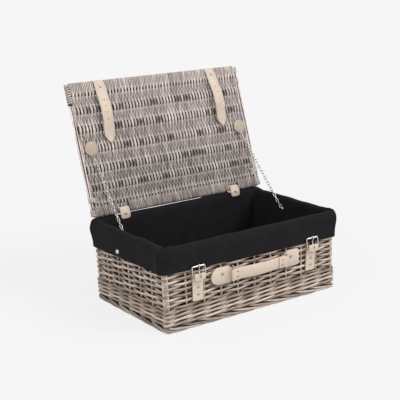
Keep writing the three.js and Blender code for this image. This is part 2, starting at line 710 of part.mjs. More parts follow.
function buckleProng() {
  const clear = ROLLER_RADIUS + GAP + PRONG / 2;
  const line = [
    point(0, BAR_BORE),
    point(0, PRONG_BEND),
    point(-clear, BUCKLE_HEIGHT - ROLLER_RADIUS),
    point(-clear, BUCKLE_HEIGHT + PRONG_REACH),
  ];
  const eye = acrossX(disc(BAR_BORE + PRONG / 2), PRONG);
  const bore = solidOf(rodAlongX(BAR_BORE, PRONG + OVERCUT));
  return cut(joined([eye, acrossX(ribbon(line, PRONG), PRONG)]), [bore]);
}

for (const [side, sign] of Object.entries(SIDES)) {
  const x = sign * STRAP_X;
  const centredRivets = buckleRivets[side].map((spec) => ({ ...spec, at: spec.at.clone().setX(0) }));
  const strap = addPiece(hamper, `buckle_strap_${side}`, buckleStrap(centredRivets), leather());
  strap.position.x = x;
  buckleRivets[side].forEach((spec, i) => {
    const place = i === 0 ? 'upper' : 'lower';
    addPiece(hamper, `buckle_strap_rivet_${side}_${place}`, rivetGeometry(spec), steel());
  });
  const buckle = new THREE.Group();
  buckle.position.set(x, BUCKLE_Y, BUCKLE_BAR_HEIGHT);
  buckle.rotation.x = -BUCKLE_LEAN;
  hamper.add(buckle);
  addPiece(buckle, `buckle_frame_${side}`, buckleFrame(), steel());
  addPiece(buckle, `buckle_roller_${side}`, buckleRoller(), steel());
  addPiece(buckle, `buckle_prong_${side}`, buckleProng(), steel());
}

// Front handle: two leather tabs, two wire rings and a strap looped through them

function tabOutline() {
  const half = TAB_HEIGHT / 2;
  const corner = half - TAB_CORNER;
  const shape = new THREE.Shape();
  shape.absarc(TAB_CORNER, -corner, TAB_CORNER, Math.PI, 1.5 * Math.PI);
  shape.absarc(TAB_LENGTH - half, 0, half, -Math.PI / 2, Math.PI / 2);
  shape.absarc(TAB_CORNER, corner, TAB_CORNER, Math.PI / 2, Math.PI);
  return shape.getPoints(CORNER_STEPS);
}

function handleTab(sign, rivet) {
  const outline = tabOutline().map(({ x, y }) => point(sign * (TAB_BAR + x), HANDLE_HEIGHT + y));
  const plate = forwards(new THREE.Shape(outline), FRONT - GAP, 2 * LEATHER);
  const reach = TAB_HEIGHT / 2 - TAB_CORNER;
  const x = sign * TAB_BAR;
  const loop = upright(disc(BAR_LOOP, x, RING_Y), HANDLE_HEIGHT - reach, HANDLE_HEIGHT + reach);
  const bore = upright(disc(BAR_BORE, x, RING_Y), HANDLE_HEIGHT - TAB_HEIGHT, HANDLE_HEIGHT + TAB_HEIGHT);
  return cut(joined([plate, loop]), [bore, rivetHole(rivet)]);
}

const ringReach = point(RING_LENGTH * Math.cos(RING_SWING), -RING_LENGTH * Math.sin(RING_SWING));
const strapLeft = point(-TAB_BAR, RING_Y).add(ringReach);
const strapRight = point(TAB_BAR, RING_Y).add(ringReach);

function handleStrap(rivets) {
  const low = HANDLE_HEIGHT - HANDLE_STRAP_HEIGHT / 2;
  const high = HANDLE_HEIGHT + HANDLE_STRAP_HEIGHT / 2;
  const backY = strapLeft.y + BAR_BORE + LEATHER / 2;
  const line = [];
  for (let step = 0; step <= HANDLE_STEPS; step += 1) {
    const along = step / HANDLE_STEPS;
    const x = THREE.MathUtils.lerp(strapLeft.x, strapRight.x, along);
    line.push(point(x, backY - HANDLE_BOW * Math.sin(Math.PI * along) ** 2));
  }
  const layers = [upright(ribbon(line, LEATHER), low, high)];
  const bores = [];
  for (const [end, inwards] of [[strapLeft, 1], [strapRight, -1]]) {
    const top = end.y - BAR_BORE - LEATHER / 2;
    const fold = [
      point(end.x, top),
      point(end.x + inwards * HANDLE_RIVET, backY - 2 * LEATHER),
      point(end.x + inwards * HANDLE_FOLD, backY - 2 * LEATHER),
    ];
    layers.push(upright(ribbon(fold, LEATHER), low, high));
    layers.push(upright(disc(BAR_LOOP, end.x, end.y), low, high));
    bores.push(upright(disc(BAR_BORE, end.x, end.y), low - OVERCUT, high + OVERCUT));
  }
  return cut(joined(layers), [...bores, ...rivetHoles(rivets)]);
}

const handleRivets = {};
for (const [side, end, inwards] of [['left', strapLeft, 1], ['right', strapRight, -1]]) {
  for (const [level, rise] of [['upper', 0.5], ['lower', -0.5]]) {
    const face = strapLeft.y + BAR_BORE - 2 * LEATHER - 2 * GAP;
    handleRivets[`handle_rivet_${side}_${level}`] = rivetSpec(
      new THREE.Vector3(end.x + inwards * HANDLE_RIVET, face, HANDLE_HEIGHT + rise * HANDLE_RIVET_SPACING),
      towardsFront,
      3 * LEATHER,
      SMALL_RIVET_RADIUS,
    );
  }
}

for (const [side, sign] of Object.entries(SIDES)) {
  addPiece(hamper, `handle_tab_${side}`, handleTab(sign, tabRivets[side]), leather());
  addPiece(hamper, `handle_tab_rivet_${side}`, rivetGeometry(tabRivets[side]), steel());
  const ring = wireFrame(RING_LENGTH, RING_HEIGHT, RING_CORNER).translate(RING_LENGTH / 2, 0, 0);
  const ringPiece = addPiece(hamper, `handle_ring_${side}`, ring.rotateX(Math.PI / 2), steel());
  ringPiece.position.set(sign * TAB_BAR, RING_Y, HANDLE_HEIGHT);
  ringPiece.rotation.z = -RING_SWING;
}
addPiece(hamper, 'handle_strap', handleStrap(Object.values(handleRivets)), leather());
for (const [name, spec] of Object.entries(handleRivets)) {
  addPiece(hamper, name, rivetGeometry(spec), steel());
}

// Stay chains: from a rivet inside each end wall to the leather patch on the lid

for (const [side, sign] of Object.entries(SIDES)) {
  const patchEdge = new THREE.Vector3(
    sign * PATCH_X,
    -PATCH_DISTANCE + PATCH_RADIUS + GAP,
    innerFace - GAP - CHAIN_RADIUS,
  );
  const top = lid.localToWorld(patchEdge);
  const anchor = anchors[side].at.clone();
  anchor.x -= sign * (CHAIN_RADIUS + GAP);
  const along = top.clone().sub(anchor).normalize();
  const bottom = anchor.addScaledVector(along, ANCHOR_RADIUS + GAP);
  const route = new THREE.LineCurve3(bottom, top);
  const section = new THREE.Shape(disc(CHAIN_RADIUS).getSpacedPoints(CHAIN_SIDES).slice(0, -1));
  const chain = new THREE.ExtrudeGeometry(section, { steps: 1, extrudePath: route, bevelEnabled: false });
  addPiece(hamper, `chain_${side}`, chain, steel());
  addPiece(hamper, `chain_anchor_${side}`, rivetGeometry(anchors[side]), steel());
  addPiece(hamper, `cuff_stud_${side}`, rivetGeometry(studs[side]), steel());
}

export default hamper;
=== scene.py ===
# A lined willow picnic hamper, standing open with its lid held by two stay chains.
# Metres; +X runs along the front, +Y to the back and +Z up.
import math
import random

import bpy
import numpy as np
from mathutils import Matrix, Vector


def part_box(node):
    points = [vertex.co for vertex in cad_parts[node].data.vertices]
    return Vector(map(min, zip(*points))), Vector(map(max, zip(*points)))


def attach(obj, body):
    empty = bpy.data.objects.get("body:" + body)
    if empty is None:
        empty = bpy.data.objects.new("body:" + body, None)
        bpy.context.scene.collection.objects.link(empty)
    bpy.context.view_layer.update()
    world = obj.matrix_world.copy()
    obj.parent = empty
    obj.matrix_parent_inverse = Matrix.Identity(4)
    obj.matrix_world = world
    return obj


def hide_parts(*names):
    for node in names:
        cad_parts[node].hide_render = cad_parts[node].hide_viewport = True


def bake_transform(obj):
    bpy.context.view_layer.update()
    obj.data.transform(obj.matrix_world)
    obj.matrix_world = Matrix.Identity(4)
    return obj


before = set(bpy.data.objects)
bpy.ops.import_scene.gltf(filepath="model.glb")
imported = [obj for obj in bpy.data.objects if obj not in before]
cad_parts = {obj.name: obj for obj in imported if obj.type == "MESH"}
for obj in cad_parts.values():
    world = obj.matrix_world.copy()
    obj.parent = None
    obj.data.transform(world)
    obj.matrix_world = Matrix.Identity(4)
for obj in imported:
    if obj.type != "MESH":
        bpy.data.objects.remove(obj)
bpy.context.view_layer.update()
bpy.ops.object.select_all(action="DESELECT")

# Camera: a long lens before the hamper's front left corner and a little above it, so that the
# front, the left end and the inner face of the open lid all show.
azimuth, drop, roll = math.radians(35.156), math.radians(14.436), math.radians(-1.419)
camera = bpy.data.objects.new("camera", bpy.data.cameras.new("camera"))
bpy.context.collection.objects.link(camera)
bpy.context.scene.camera = camera
camera.data.lens = 86.34
camera.data.sensor_width = 36
camera.location = (-1.1756, -1.613, 0.7251)
camera.rotation_euler = (
    Matrix.Rotation(-azimuth, 3, "Z")
    @ Matrix.Rotation(math.pi / 2 - drop, 3, "X")
    @ Matrix.Rotation(roll, 3, "Z")
).to_euler()


# Studio: a plain pale floor under an even sky, with a soft key light from the front right
# and a weaker fill from the left.
def node(tree, kind, inputs=(), **settings):
    made = tree.nodes.new(kind)
    for name, value in settings.items():
        setattr(made, name, value)
    for name, value in dict(inputs).items():
        if isinstance(value, bpy.types.NodeSocket):
            tree.links.new(value, made.inputs[name])
        else:
            made.inputs[name].default_value = value
    return made


def lamp(name, strength, softness, turn_x, turn_z):
    sun = bpy.data.lights.new(name, "SUN")
    sun.energy = strength
    sun.angle = math.radians(softness)
    placed = bpy.data.objects.new(name, sun)
    placed.rotation_euler = (math.radians(turn_x), 0, math.radians(turn_z))
    bpy.context.collection.objects.link(placed)


lamp("key", strength=2.1, softness=30, turn_x=48, turn_z=38)
lamp("fill", strength=1.3, softness=60, turn_x=60, turn_z=-60)

PAPER = (0.925, 0.92, 0.922, 1)
sky = bpy.data.worlds.new("sky")
bpy.context.scene.world = sky
sky.use_nodes = True
sky.node_tree.nodes.clear()
light_path = node(sky.node_tree, "ShaderNodeLightPath")
seen = node(sky.node_tree, "ShaderNodeMath", {
    0: light_path.outputs["Is Camera Ray"], 1: light_path.outputs["Is Glossy Ray"],
}, operation="MAXIMUM")
ambient = node(sky.node_tree, "ShaderNodeBackground", {"Color": (1, 1, 1, 1), "Strength": 0.5})
backdrop = node(sky.node_tree, "ShaderNodeBackground", {"Color": PAPER, "Strength": 1.0})
sky_mix = node(sky.node_tree, "ShaderNodeMixShader", {
    0: seen.outputs[0], 1: ambient.outputs[0], 2: backdrop.outputs[0],
})
node(sky.node_tree, "ShaderNodeOutputWorld", {"Surface": sky_mix.outputs[0]})

FLOOR_SIZE = 120
FLOOR_GLOW = 0.88  # share of the paper's white that the lamps and shadows don't change
bpy.ops.mesh.primitive_plane_add(size=FLOOR_SIZE)
floor = bpy.context.object
floor.name = "floor"
paper = bpy.data.materials.new("paper")
paper.use_nodes = True
paper.node_tree.nodes.clear()
matt = node(paper.node_tree, "ShaderNodeBsdfDiffuse", {"Color": (0.8, 0.8, 0.8, 1)})
glow = node(paper.node_tree, "ShaderNodeEmission", {"Color": PAPER, "Strength": 1.0})
paper_path = node(paper.node_tree, "ShaderNodeLightPath")
share = node(paper.node_tree, "ShaderNodeMath", {
    0: paper_path.outputs["Is Camera Ray"], 1: FLOOR_GLOW,
}, operation="MULTIPLY")
paper_mix = node(paper.node_tree, "ShaderNodeMixShader", {
    0: share.outputs[0], 1: matt.outputs[0], 2: glow.outputs[0],
})
node(paper.node_tree, "ShaderNodeOutputMaterial", {"Surface": paper_mix.outputs[0]})
floor.data.materials.append(paper)
floor.select_set(False)

# Willow walls: upright stakes with round rods woven in and out of them, and a three-rod wale at
# the foot. The rods are grey-washed, with painted shade on each rod's side facing into the weave.
chance = random.Random(7)  # every uneven size and tone is drawn from it, alike on each run


def unit(vectors):
    return vectors / np.linalg.norm(vectors, axis=-1, keepdims=True)


def new_mesh(name, places, faces, finish):
    mesh = bpy.data.meshes.new(name)
    mesh.from_pydata(places, [], faces)
    mesh.polygons.foreach_set("use_smooth", [True] * len(faces))
    mesh.materials.append(finish)
    piece = bpy.data.objects.new(name, mesh)
    bpy.context.collection.objects.link(piece)
    return piece


def mark(piece, name, values):
    layer = piece.data.attributes.new(name, "FLOAT", "POINT")
    layer.data.foreach_set("value", np.asarray(values, np.float32))


def ring_faces(rings, sides, first=0, closed=False):
    """Quads between neighbouring rings of points, numbered from first."""
    faces = []
    for i in range(rings if closed else rings - 1):
        here, after = first + i * sides, first + (i + 1) % rings * sides
        for j in range(sides):
            beside = (j + 1) % sides
            faces.append([here + j, after + j, after + beside, here + beside])
    return faces


def rods_piece(name, rods, finish, sides=6):
    """One mesh of swept rods. A rod is a dict: points, up (a direction off its line), wide, and where
    they are needed thick, closed, tone, twist, flat (under 1 where it is squarer than round), how dark
    painted shading makes its edges (edge_shade) and its length (length_shade_and_stains, which on the
    lid also holds stains and uneven wash), and outward, offset (-1 to 1) and sink (how soon painted
    shading darkens the side facing into the weave) where it is woven."""
    places, faces, grain, tones, shades = [], [], [], [], []
    count = 0
    for rod in rods:
        turn = (np.arange(sides) + rod.get("twist", 0.0)) * 2 * math.pi / sides
        points = np.asarray(rod["points"], float)
        closed = rod.get("closed", False)
        rings = len(points)
        if closed:
            along = np.roll(points, -1, 0) - np.roll(points, 1, 0)
            steps = np.linalg.norm(np.roll(points, -1, 0) - points, axis=1)
        else:
            along = np.gradient(points, axis=0)
            steps = np.linalg.norm(np.diff(points, axis=0), axis=1)
        along = unit(along)
        side = unit(np.cross(along, rod["up"]))
        top = np.cross(side, along)
        wide = np.broadcast_to(rod["wide"], rings)[:, None, None]
        thick = np.broadcast_to(rod.get("thick", rod["wide"]), rings)[:, None, None]
        across, up = [np.sign(way) * abs(way) ** rod.get("flat", 1.0) for way in (np.cos(turn), np.sin(turn))]
        spoke = across[None, :, None] * side[:, None] * wide + up[None, :, None] * top[:, None] * thick
        places.append((points[:, None] + spoke).reshape(-1, 3))
        # Painted shade: a woven rod is darkened on its side facing into the weave, more the further it stands
        # off the middle, and at its edges and along its length where asked.
        shade_and_stains = np.zeros((rings, sides))
        if "offset" in rod:
            offset = np.asarray(rod["offset"])[:, None] * rod.get("sink", 1.0)
            facing = (unit(spoke) * np.broadcast_to(rod["outward"], (rings, 3))[:, None]).sum(-1)
            shade_and_stains = np.clip(abs(offset), 0, 1) * np.clip(-facing * np.sign(offset), 0, 1)
        edge_shade = np.broadcast_to(rod.get("edge_shade", 0.0), rings)[:, None]
        shade_and_stains = np.maximum(shade_and_stains, edge_shade * np.sin(turn) ** 4)
        shade_and_stains = np.maximum(shade_and_stains, np.broadcast_to(rod.get("length_shade_and_stains", 0.0), rings)[:, None])
        shades.append(shade_and_stains.ravel())
        tones.append(np.full(rings * sides, rod.get("tone", chance.random())))
        run = np.concatenate([[0], np.cumsum(steps)]) + chance.uniform(0, 9)
        faces += ring_faces(rings, sides, count, closed)
        for start, end in zip(run, run[1:]):
            for j in range(sides):
                left, right = j / sides, (j + 1) / sides
                grain += [left, start, left, end, right, end, right, start]
        if not closed:
            last = count + (rings - 1) * sides
            faces.append(list(range(count, count + sides)))
            faces.append(list(range(last + sides - 1, last - 1, -1)))
            grain += [0.5, run[0]] * sides + [0.5, run[-1]] * sides
        count += rings * sides
    piece = new_mesh(name, np.concatenate(places), faces, finish)
    piece.data.uv_layers.new(name="grain").data.foreach_set("uv", grain)
    mark(piece, "tone", np.concatenate(tones))
    mark(piece, "shade_and_stains", np.concatenate(shades))
    return piece


def attribute(tree, name):
    return node(tree, "ShaderNodeAttribute", attribute_name=name).outputs["Fac"]


def grain_of(tree):
    return node(tree, "ShaderNodeUVMap", uv_map="grain").outputs["UV"]


def noise(tree, where, scale, detail=3.0):
    stretched = node(tree, "ShaderNodeMapping", {"Vector": where, "Scale": scale})
    return node(tree, "ShaderNodeTexNoise", {
        "Vector": stretched.outputs[0], "Scale": 1.0, "Detail": detail,
    }).outputs["Fac"]


def ramp(tree, value, stops):
    made = node(tree, "ShaderNodeValToRGB", {"Fac": value})
    while len(made.color_ramp.elements) < len(stops):
        made.color_ramp.elements.new(1.0)
    for element, (place, colour) in zip(made.color_ramp.elements, stops):
        element.position = place
        element.color = (*colour, 1)
    return made.outputs["Color"]


def mixed(tree, share, first, second, blend="MIX"):
    made = node(tree, "ShaderNodeMix", {0: share, 6: first, 7: second}, data_type="RGBA", blend_type=blend)
    return made.outputs[2]


def sums(tree, first, second, operation="ADD"):
    return node(tree, "ShaderNodeMath", {0: first, 1: second}, operation=operation).outputs[0]


def uneven(tree, where, scale, reach, base):
    """A roughness that wanders over the surface, from base up by reach."""
    return sums(tree, sums(tree, noise(tree, where, scale), reach, "MULTIPLY"), base)


def bumped(tree, height, strength, distance):
    return node(tree, "ShaderNodeBump", {
        "Height": height, "Strength": strength, "Distance": distance,
    }).outputs["Normal"]


def finish_of(name, colour, roughness, normal, **constants):
    """A principled finish; colour, roughness and normal come from a function of the new node tree."""
    made = bpy.data.materials.new(name)
    made.use_nodes = True
    tree = made.node_tree
    shader = tree.nodes["Principled BSDF"]
    for socket, source in (("Base Color", colour), ("Roughness", roughness), ("Normal", normal)):
        tree.links.new(source(tree), shader.inputs[socket])
    for socket, value in constants.items():
        shader.inputs[socket.replace("_", " ")].default_value = value
    return made


WASH_SHARE = 0.55  # how far a rod's own tone, and the patches along it, move the wash
SHADE_SHARE = 0.92  # how far painted shade replaces the wash on a rod's shaded parts


def rod_finish(name, dark, middle, light, shade_colour):
    def colour(tree):
        patches = noise(tree, grain_of(tree), (0.7, 16, 1), 2.0)
        wash = sums(tree, sums(tree, attribute(tree, "tone"), WASH_SHARE, "MULTIPLY"),
                    sums(tree, patches, WASH_SHARE, "MULTIPLY"))
        plain = ramp(tree, wash, [(0.18, dark), (0.5, middle), (0.85, light)])
        streaks = ramp(tree, noise(tree, grain_of(tree), (6, 60, 1), 5.0), [
            (0.3, (0.55, 0.52, 0.5)), (0.5, (0.95, 0.95, 0.95)), (0.75, (1.1, 1.1, 1.1)),
        ])
        streaked = mixed(tree, 1.0, plain, streaks, "MULTIPLY")
        # Painted shade: the shade attribute mixes the wash towards a dark shade colour.
        shade_mix = sums(tree, attribute(tree, "shade_and_stains"), SHADE_SHARE, "MULTIPLY")
        return mixed(tree, shade_mix, streaked, (*shade_colour, 1))

    def roughness(tree):
        return uneven(tree, grain_of(tree), (4, 90, 1), 0.3, 0.5)

    def normal(tree):
        return bumped(tree, noise(tree, grain_of(tree), (7, 120, 1), 5.0), 0.35, 0.0006)

    return finish_of(name, colour, roughness, normal)


willow = rod_finish("washed_willow", (0.195, 0.145, 0.115), (0.41, 0.32, 0.259), (0.67, 0.55, 0.461),
                    (0.016, 0.011, 0.009))

BODY_X, BODY_Y, CORNER = 0.224, 0.139, 0.012
STAKE_LINE = 0.0062  # from the walls' outer face to the line of stakes
FRONT_BAYS, END_BAYS = 10, 6


def round_points(x, y, radius, long_count, short_count, turn_count):
    """Points round a box whose corners turn about (x, y), with the outward direction at each."""
    places, outward = [], []
    for quarter in range(4):
        facing = quarter * math.pi / 2 - math.pi / 2
        out = np.array([math.cos(facing), math.sin(facing)])
        right = np.array([-out[1], out[0]])
        reach, depth, count = (x, y, long_count) if quarter % 2 == 0 else (y, x, short_count)
        for i in range(count):
            places.append(out * (depth + radius) + right * reach * (2 * i / count - 1))
            outward.append(out)
        for i in range(turn_count):
            swing = facing + i / turn_count * math.pi / 2
            turned = np.array([math.cos(swing), math.sin(swing)])
            places.append(out * depth + right * reach + turned * radius)
            outward.append(turned)
    return np.array(places), np.array(outward)


def round_body(inset, per_bay):
    """Points round the body, with the outward direction and the number of stakes passed at each."""
    places, outward = round_points(
        BODY_X - CORNER, BODY_Y - CORNER, CORNER - inset, FRONT_BAYS * per_bay, END_BAYS * per_bay, per_bay,
    )
    return places, outward, np.arange(len(places)) / per_bay


def ripple(turns, size, lowest=3, highest=13):
    """A gentle closed wave over turns from 0 to 1."""
    wave = np.zeros_like(turns)
    for _ in range(4):
        wave += np.sin(2 * math.pi * (chance.randint(lowest, highest) * turns + chance.random()))
    return wave * size / 4


def near(distance, reach, power=2):
    """1 at no distance, falling to 0 past the reach."""
    return np.exp(-((distance / reach) ** power))


STAKES = 2 * (FRONT_BAYS + END_BAYS) + 4
STAKE_RADIUS, STAKE_BEND = 0.0021, 0.0006
STAKE_FOOT, STAKE_MIDDLE, STAKE_TOP = 0.006, 0.09, 0.168
WEAVER_RADIUS, WEAVER_UNEVEN = 0.0026, 0.12
WEAVE_REACH = 0.0036  # how far a weaver's middle stands off the line of stakes
RANDING_BOTTOM, ROW_PITCH, ROWS, ROW_WAVER = 0.0517, 0.0059, 19, 0.0006
RANDING_CLIMB = 0.0007  # a rod rises as it passes in front of a stake and drops again behind
CORNER_STAKES = (-0.5, 10.5, 17.5, 28.5, 35.5)  # halfway round each corner, where the rods lie flatter
UP, RIGHT = (0.0, 0.0, 1.0), (1.0, 0.0, 0.0)

wall_xy, wall_out, wall_stakes = round_body(STAKE_LINE, 5)
wall_turns = wall_stakes / STAKES
wall_outward = np.column_stack([wall_out, np.zeros(len(wall_out))])
wall_swing = np.ones(len(wall_stakes))
for corner_stake in CORNER_STAKES:
    wall_swing -= 0.7 * near(wall_stakes - corner_stake, 0.8)
wall_rods = []
LEFT_LEAN = 0.044


def leaning(points):
    """The left end of the body leans out a little towards the top."""
    points = np.array(points, float)
    points[:, 0] -= LEFT_LEAN * points[:, 2] * np.clip(-points[:, 0] / BODY_X, 0, 1)
    return points


for row in range(ROWS):
    way = 1 if row % 2 else -1
    offset = way * np.cos(math.pi * wall_stakes)
    climb = way * np.sin(math.pi * wall_stakes) * RANDING_CLIMB
    height = RANDING_BOTTOM + row * ROW_PITCH + climb + ripple(wall_turns, ROW_WAVER)
    line = wall_xy + wall_out * (offset * wall_swing * WEAVE_REACH)[:, None]
    wall_rods.append({
        "points": leaning(np.column_stack([line, height])), "up": UP, "closed": True,
        "wide": WEAVER_RADIUS * (1 + ripple(wall_turns, WEAVER_UNEVEN)),
        "outward": wall_outward, "offset": offset,
    })

# The wale's and rim's rods take a little painted shade all along (WALE_SHADOW).
WALE_WAVER, WALE_UNEVEN, WALE_SHADOW = 0.0004, 0.1, 0.05


def wale(bottom, rise, radius, reach):
    """A round of three rods, each in front of two stakes and behind one, climbing to the right."""
    rods = []
    for rod in range(3):
        phase = (wall_stakes + rod) / 3 % 1
        offset = np.clip(-1.7 * np.cos(2 * math.pi * phase), -1, 1)
        climb = (phase - 0.5) * np.clip(6 * np.minimum(phase, 1 - phase), 0, 1)
        line = wall_xy + wall_out * (offset * reach)[:, None]
        height = bottom + rise / 2 + climb * rise + ripple(wall_turns, WALE_WAVER)
        rods.append({
            "points": leaning(np.column_stack([line, height])), "up": UP, "closed": True,
            "wide": radius * (1 + ripple(wall_turns, WALE_UNEVEN)), "outward": wall_outward, "offset": offset,
            "length_shade_and_stains": WALE_SHADOW,
        })
    return rods


WALE_BOTTOM, WALE_RISE, WALE_ROUNDS = 0.0143, 0.0086, 4
WALE_ROD, WALE_REACH = 0.0024, 0.0037
for number in range(WALE_ROUNDS):
    wall_rods += wale(WALE_BOTTOM + number * WALE_RISE, WALE_RISE, WALE_ROD, WALE_REACH)

for i in np.flatnonzero(abs(wall_stakes - np.round(wall_stakes)) < 1e-9):
    bent = wall_xy[i] + np.array([chance.uniform(-1, 1), chance.uniform(-1, 1)]) * STAKE_BEND
    wall_rods.append({
        "points": leaning([(*wall_xy[i], STAKE_FOOT), (*bent, STAKE_MIDDLE), (*wall_xy[i], STAKE_TOP)]),
        "up": (0.6, 0.8, 0.0), "wide": STAKE_RADIUS, "tone": chance.uniform(0.5, 1),
    })
walls = rods_piece("wall_weave_rods", wall_rods, willow)
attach(walls, "hamper")
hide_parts("wall_weave")

# Rim: a last round of three thicker willow rods, woven round the tops of the stakes to close the
# walls. The turned-over cloth hides it.
RIM_BOTTOM, RIM_RISE, RIM_ROD, RIM_REACH = 0.1595, 0.0115, 0.0028, 0.0026
rim = rods_piece("rim_rods", wale(RIM_BOTTOM, RIM_RISE, RIM_ROD, RIM_REACH), willow)
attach(rim, "hamper")
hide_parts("rim")

# Corner posts: a stouter peeled willow stick in each corner, between the last stakes of two walls.
# It stands inside the weave, behind the cloth.
POST_PLACES = ("front_left", "front_right", "back_left", "back_right")
POST_INSET = 0.0026
post_rods = []
for post in POST_PLACES:
    low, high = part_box(f"corner_post_{post}")
    middle = [(low[i] + high[i]) / 2 - math.copysign(POST_INSET, low[i]) for i in range(2)]
    post_rods.append({
        "points": leaning([(*middle, low[2] + share * (high[2] - low[2])) for share in (0, 0.5, 1)]),
        "up": RIGHT, "wide": (high[0] - low[0]) / 2, "tone": 0.5,
    })
posts = rods_piece("corner_post_rods", post_rods, willow, sides=12)
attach(posts, "hamper")
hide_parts(*[f"corner_post_{post}" for post in POST_PLACES])

# Foot border: the stakes' ends bent over in turn. Each comes out over the one before it, runs down
# to the ground on its right and goes in behind the next, in front of a dark stick round the base that
# stands for the shade in the hollow behind the border.
# The foot border's rods also take painted shade all along (FOOT_SHADOW).
FOOT_ROD, FOOT_REACH, FOOT_SHADOW = 0.0026, 0.0034, 0.2
FOOT_PATH = [  # (stakes passed, in or out of the line of stakes, height)
    (-0.45, -1.0, 0.0125), (-0.2, -0.2, 0.0117), (0.0, 0.75, 0.0106), (0.15, 1.0, 0.0098), (0.5, 1.0, 0.0078),
    (1.0, 1.0, 0.0047), (1.4, 0.85, 0.0033), (1.8, 0.5, 0.0028), (2.1, -0.3, 0.0027),
]
foot_xy, foot_out, foot_stakes = round_body(STAKE_LINE, 8)
foot_stakes = np.append(foot_stakes, STAKES)
foot_xy, foot_out = np.vstack([foot_xy, foot_xy[:1]]), np.vstack([foot_out, foot_out[:1]])
passed, in_out, rise = np.array(FOOT_PATH).T
step = np.linspace(passed[0], passed[-1], 24)
offset = np.interp(step, passed, in_out)
taper = np.interp(step, (1.2, 2.1), (1, 0.85))
foot_rods = []
for number in range(STAKES):
    at = (number + step) % STAKES
    place = np.column_stack([np.interp(at, foot_stakes, foot_xy[:, i]) for i in range(2)])
    out = unit(np.column_stack([np.interp(at, foot_stakes, foot_out[:, i]) for i in range(2)]))
    line = place + out * (offset * FOOT_REACH)[:, None]
    foot_rods.append({
        "points": np.column_stack([line, np.interp(step, passed, rise)]), "up": UP,
        "wide": FOOT_ROD * taper * chance.uniform(0.95, 1.0),
        "outward": np.column_stack([out, np.zeros(len(out))]), "offset": offset, "length_shade_and_stains": FOOT_SHADOW,
    })
foot = rods_piece("foot_border_rods", foot_rods, willow)
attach(foot, "hamper")
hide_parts("foot_border")

# A near-black willow for sticks that are painted shade: the foot's core and the lid's sticks and end cores.
shaded_willow = rod_finish("shaded_willow", (0.02, 0.015, 0.013), (0.036, 0.028, 0.024),
                           (0.065, 0.052, 0.045), (0.014, 0.01, 0.008))
CORE_INSET, CORE_MIDDLE, CORE_WIDE, CORE_THICK = 0.0045, 0.0098, 0.0026, 0.0066
core_xy, _, _ = round_body(STAKE_LINE + CORE_INSET, 8)
foot_core = rods_piece("foot_core_stick", [{
    "points": np.column_stack([core_xy, np.full(len(core_xy), CORE_MIDDLE)]), "up": UP, "closed": True,
    "wide": CORE_WIDE, "thick": CORE_THICK,
}], shaded_willow)
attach(foot_core, "hamper")

# Base: a flat mat of willow rods woven front to back over seven sticks and turned round the outer
# two. It fills the foot border and carries the cloth.
BASE_MIDDLE, BASE_REACH, BASE_ROD, BASE_STICK = 0.006, 0.0036, 0.0022, 0.002
BASE_X, BASE_STICK_X, BASE_RODS, BASE_WAVER = 0.2095, 0.2115, 87, 0.0003
base_sticks = np.linspace(-0.123, 0.123, 7)


def base_weaver(parity, per_bay=4, turn_points=6):
    """(y, height) along one weaver, past the sticks on alternate sides and round the first and last."""
    signs = [parity * (-1) ** k for k in range(len(base_sticks))]
    line = []
    for a in np.linspace(math.radians(190), math.radians(15), turn_points):
        line.append((base_sticks[0] - BASE_REACH * math.sin(a), signs[0] * BASE_REACH * math.cos(a)))
    for y, y_next, sign in zip(base_sticks, base_sticks[1:], signs):
        for share in np.arange(per_bay) / per_bay:
            line.append((y + (y_next - y) * share, sign * BASE_REACH * math.cos(math.pi * share)))
    for a in np.linspace(0, math.radians(190), turn_points):
        line.append((base_sticks[-1] + BASE_REACH * math.sin(a), signs[-1] * BASE_REACH * math.cos(a)))
    return np.array(line).T


base_rods = []
for number, column in enumerate(np.linspace(-BASE_X, BASE_X, BASE_RODS)):
    y, height = base_weaver(1 if number % 2 else -1)
    x = column + chance.uniform(-1, 1) * BASE_WAVER + BASE_WAVER * np.sin(y * 90 + chance.uniform(0, 6))
    base_rods.append({
        "points": np.column_stack([x, y, BASE_MIDDLE + height]), "up": RIGHT, "outward": UP,
        "wide": BASE_ROD * chance.uniform(0.93, 1.05), "offset": np.clip(height / BASE_REACH, -1, 1),
    })
for y in base_sticks:
    base_rods.append({
        "points": [(x, y, BASE_MIDDLE) for x in (-BASE_STICK_X, 0.0, BASE_STICK_X)], "up": UP,
        "wide": BASE_STICK, "tone": 0.4,
    })
base = rods_piece("base_panel_rods", base_rods, willow, sides=5)
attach(base, "hamper")
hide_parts("base_panel")


# Lining: one black cotton bag that lies inside the walls and on the base, comes up over the rim
# and hangs down outside as a loose hemmed cuff.
def on_object(tree):
    return node(tree, "ShaderNodeTexCoord").outputs["Object"]


def cotton_colour(tree):
    return ramp(tree, noise(tree, on_object(tree), (60, 60, 60)), [
        (0.3, (0.0062, 0.0056, 0.0066)), (0.7, (0.0095, 0.0086, 0.0102)),
    ])


def cotton_roughness(tree):
    return uneven(tree, on_object(tree), (300, 300, 300), 0.2, 0.78)


def cotton_normal(tree):
    weft, warp = [
        node(tree, "ShaderNodeTexWave", {"Vector": grain_of(tree), "Scale": 420.0, "Distortion": 1.0},
             bands_direction=direction).outputs["Fac"]
        for direction in ("X", "Y")
    ]
    return bumped(tree, sums(tree, weft, warp, "MULTIPLY"), 0.25, 0.0003)


cotton = finish_of("black_cotton", cotton_colour, cotton_roughness, cotton_normal,
                   Specular_IOR_Level=0.14)

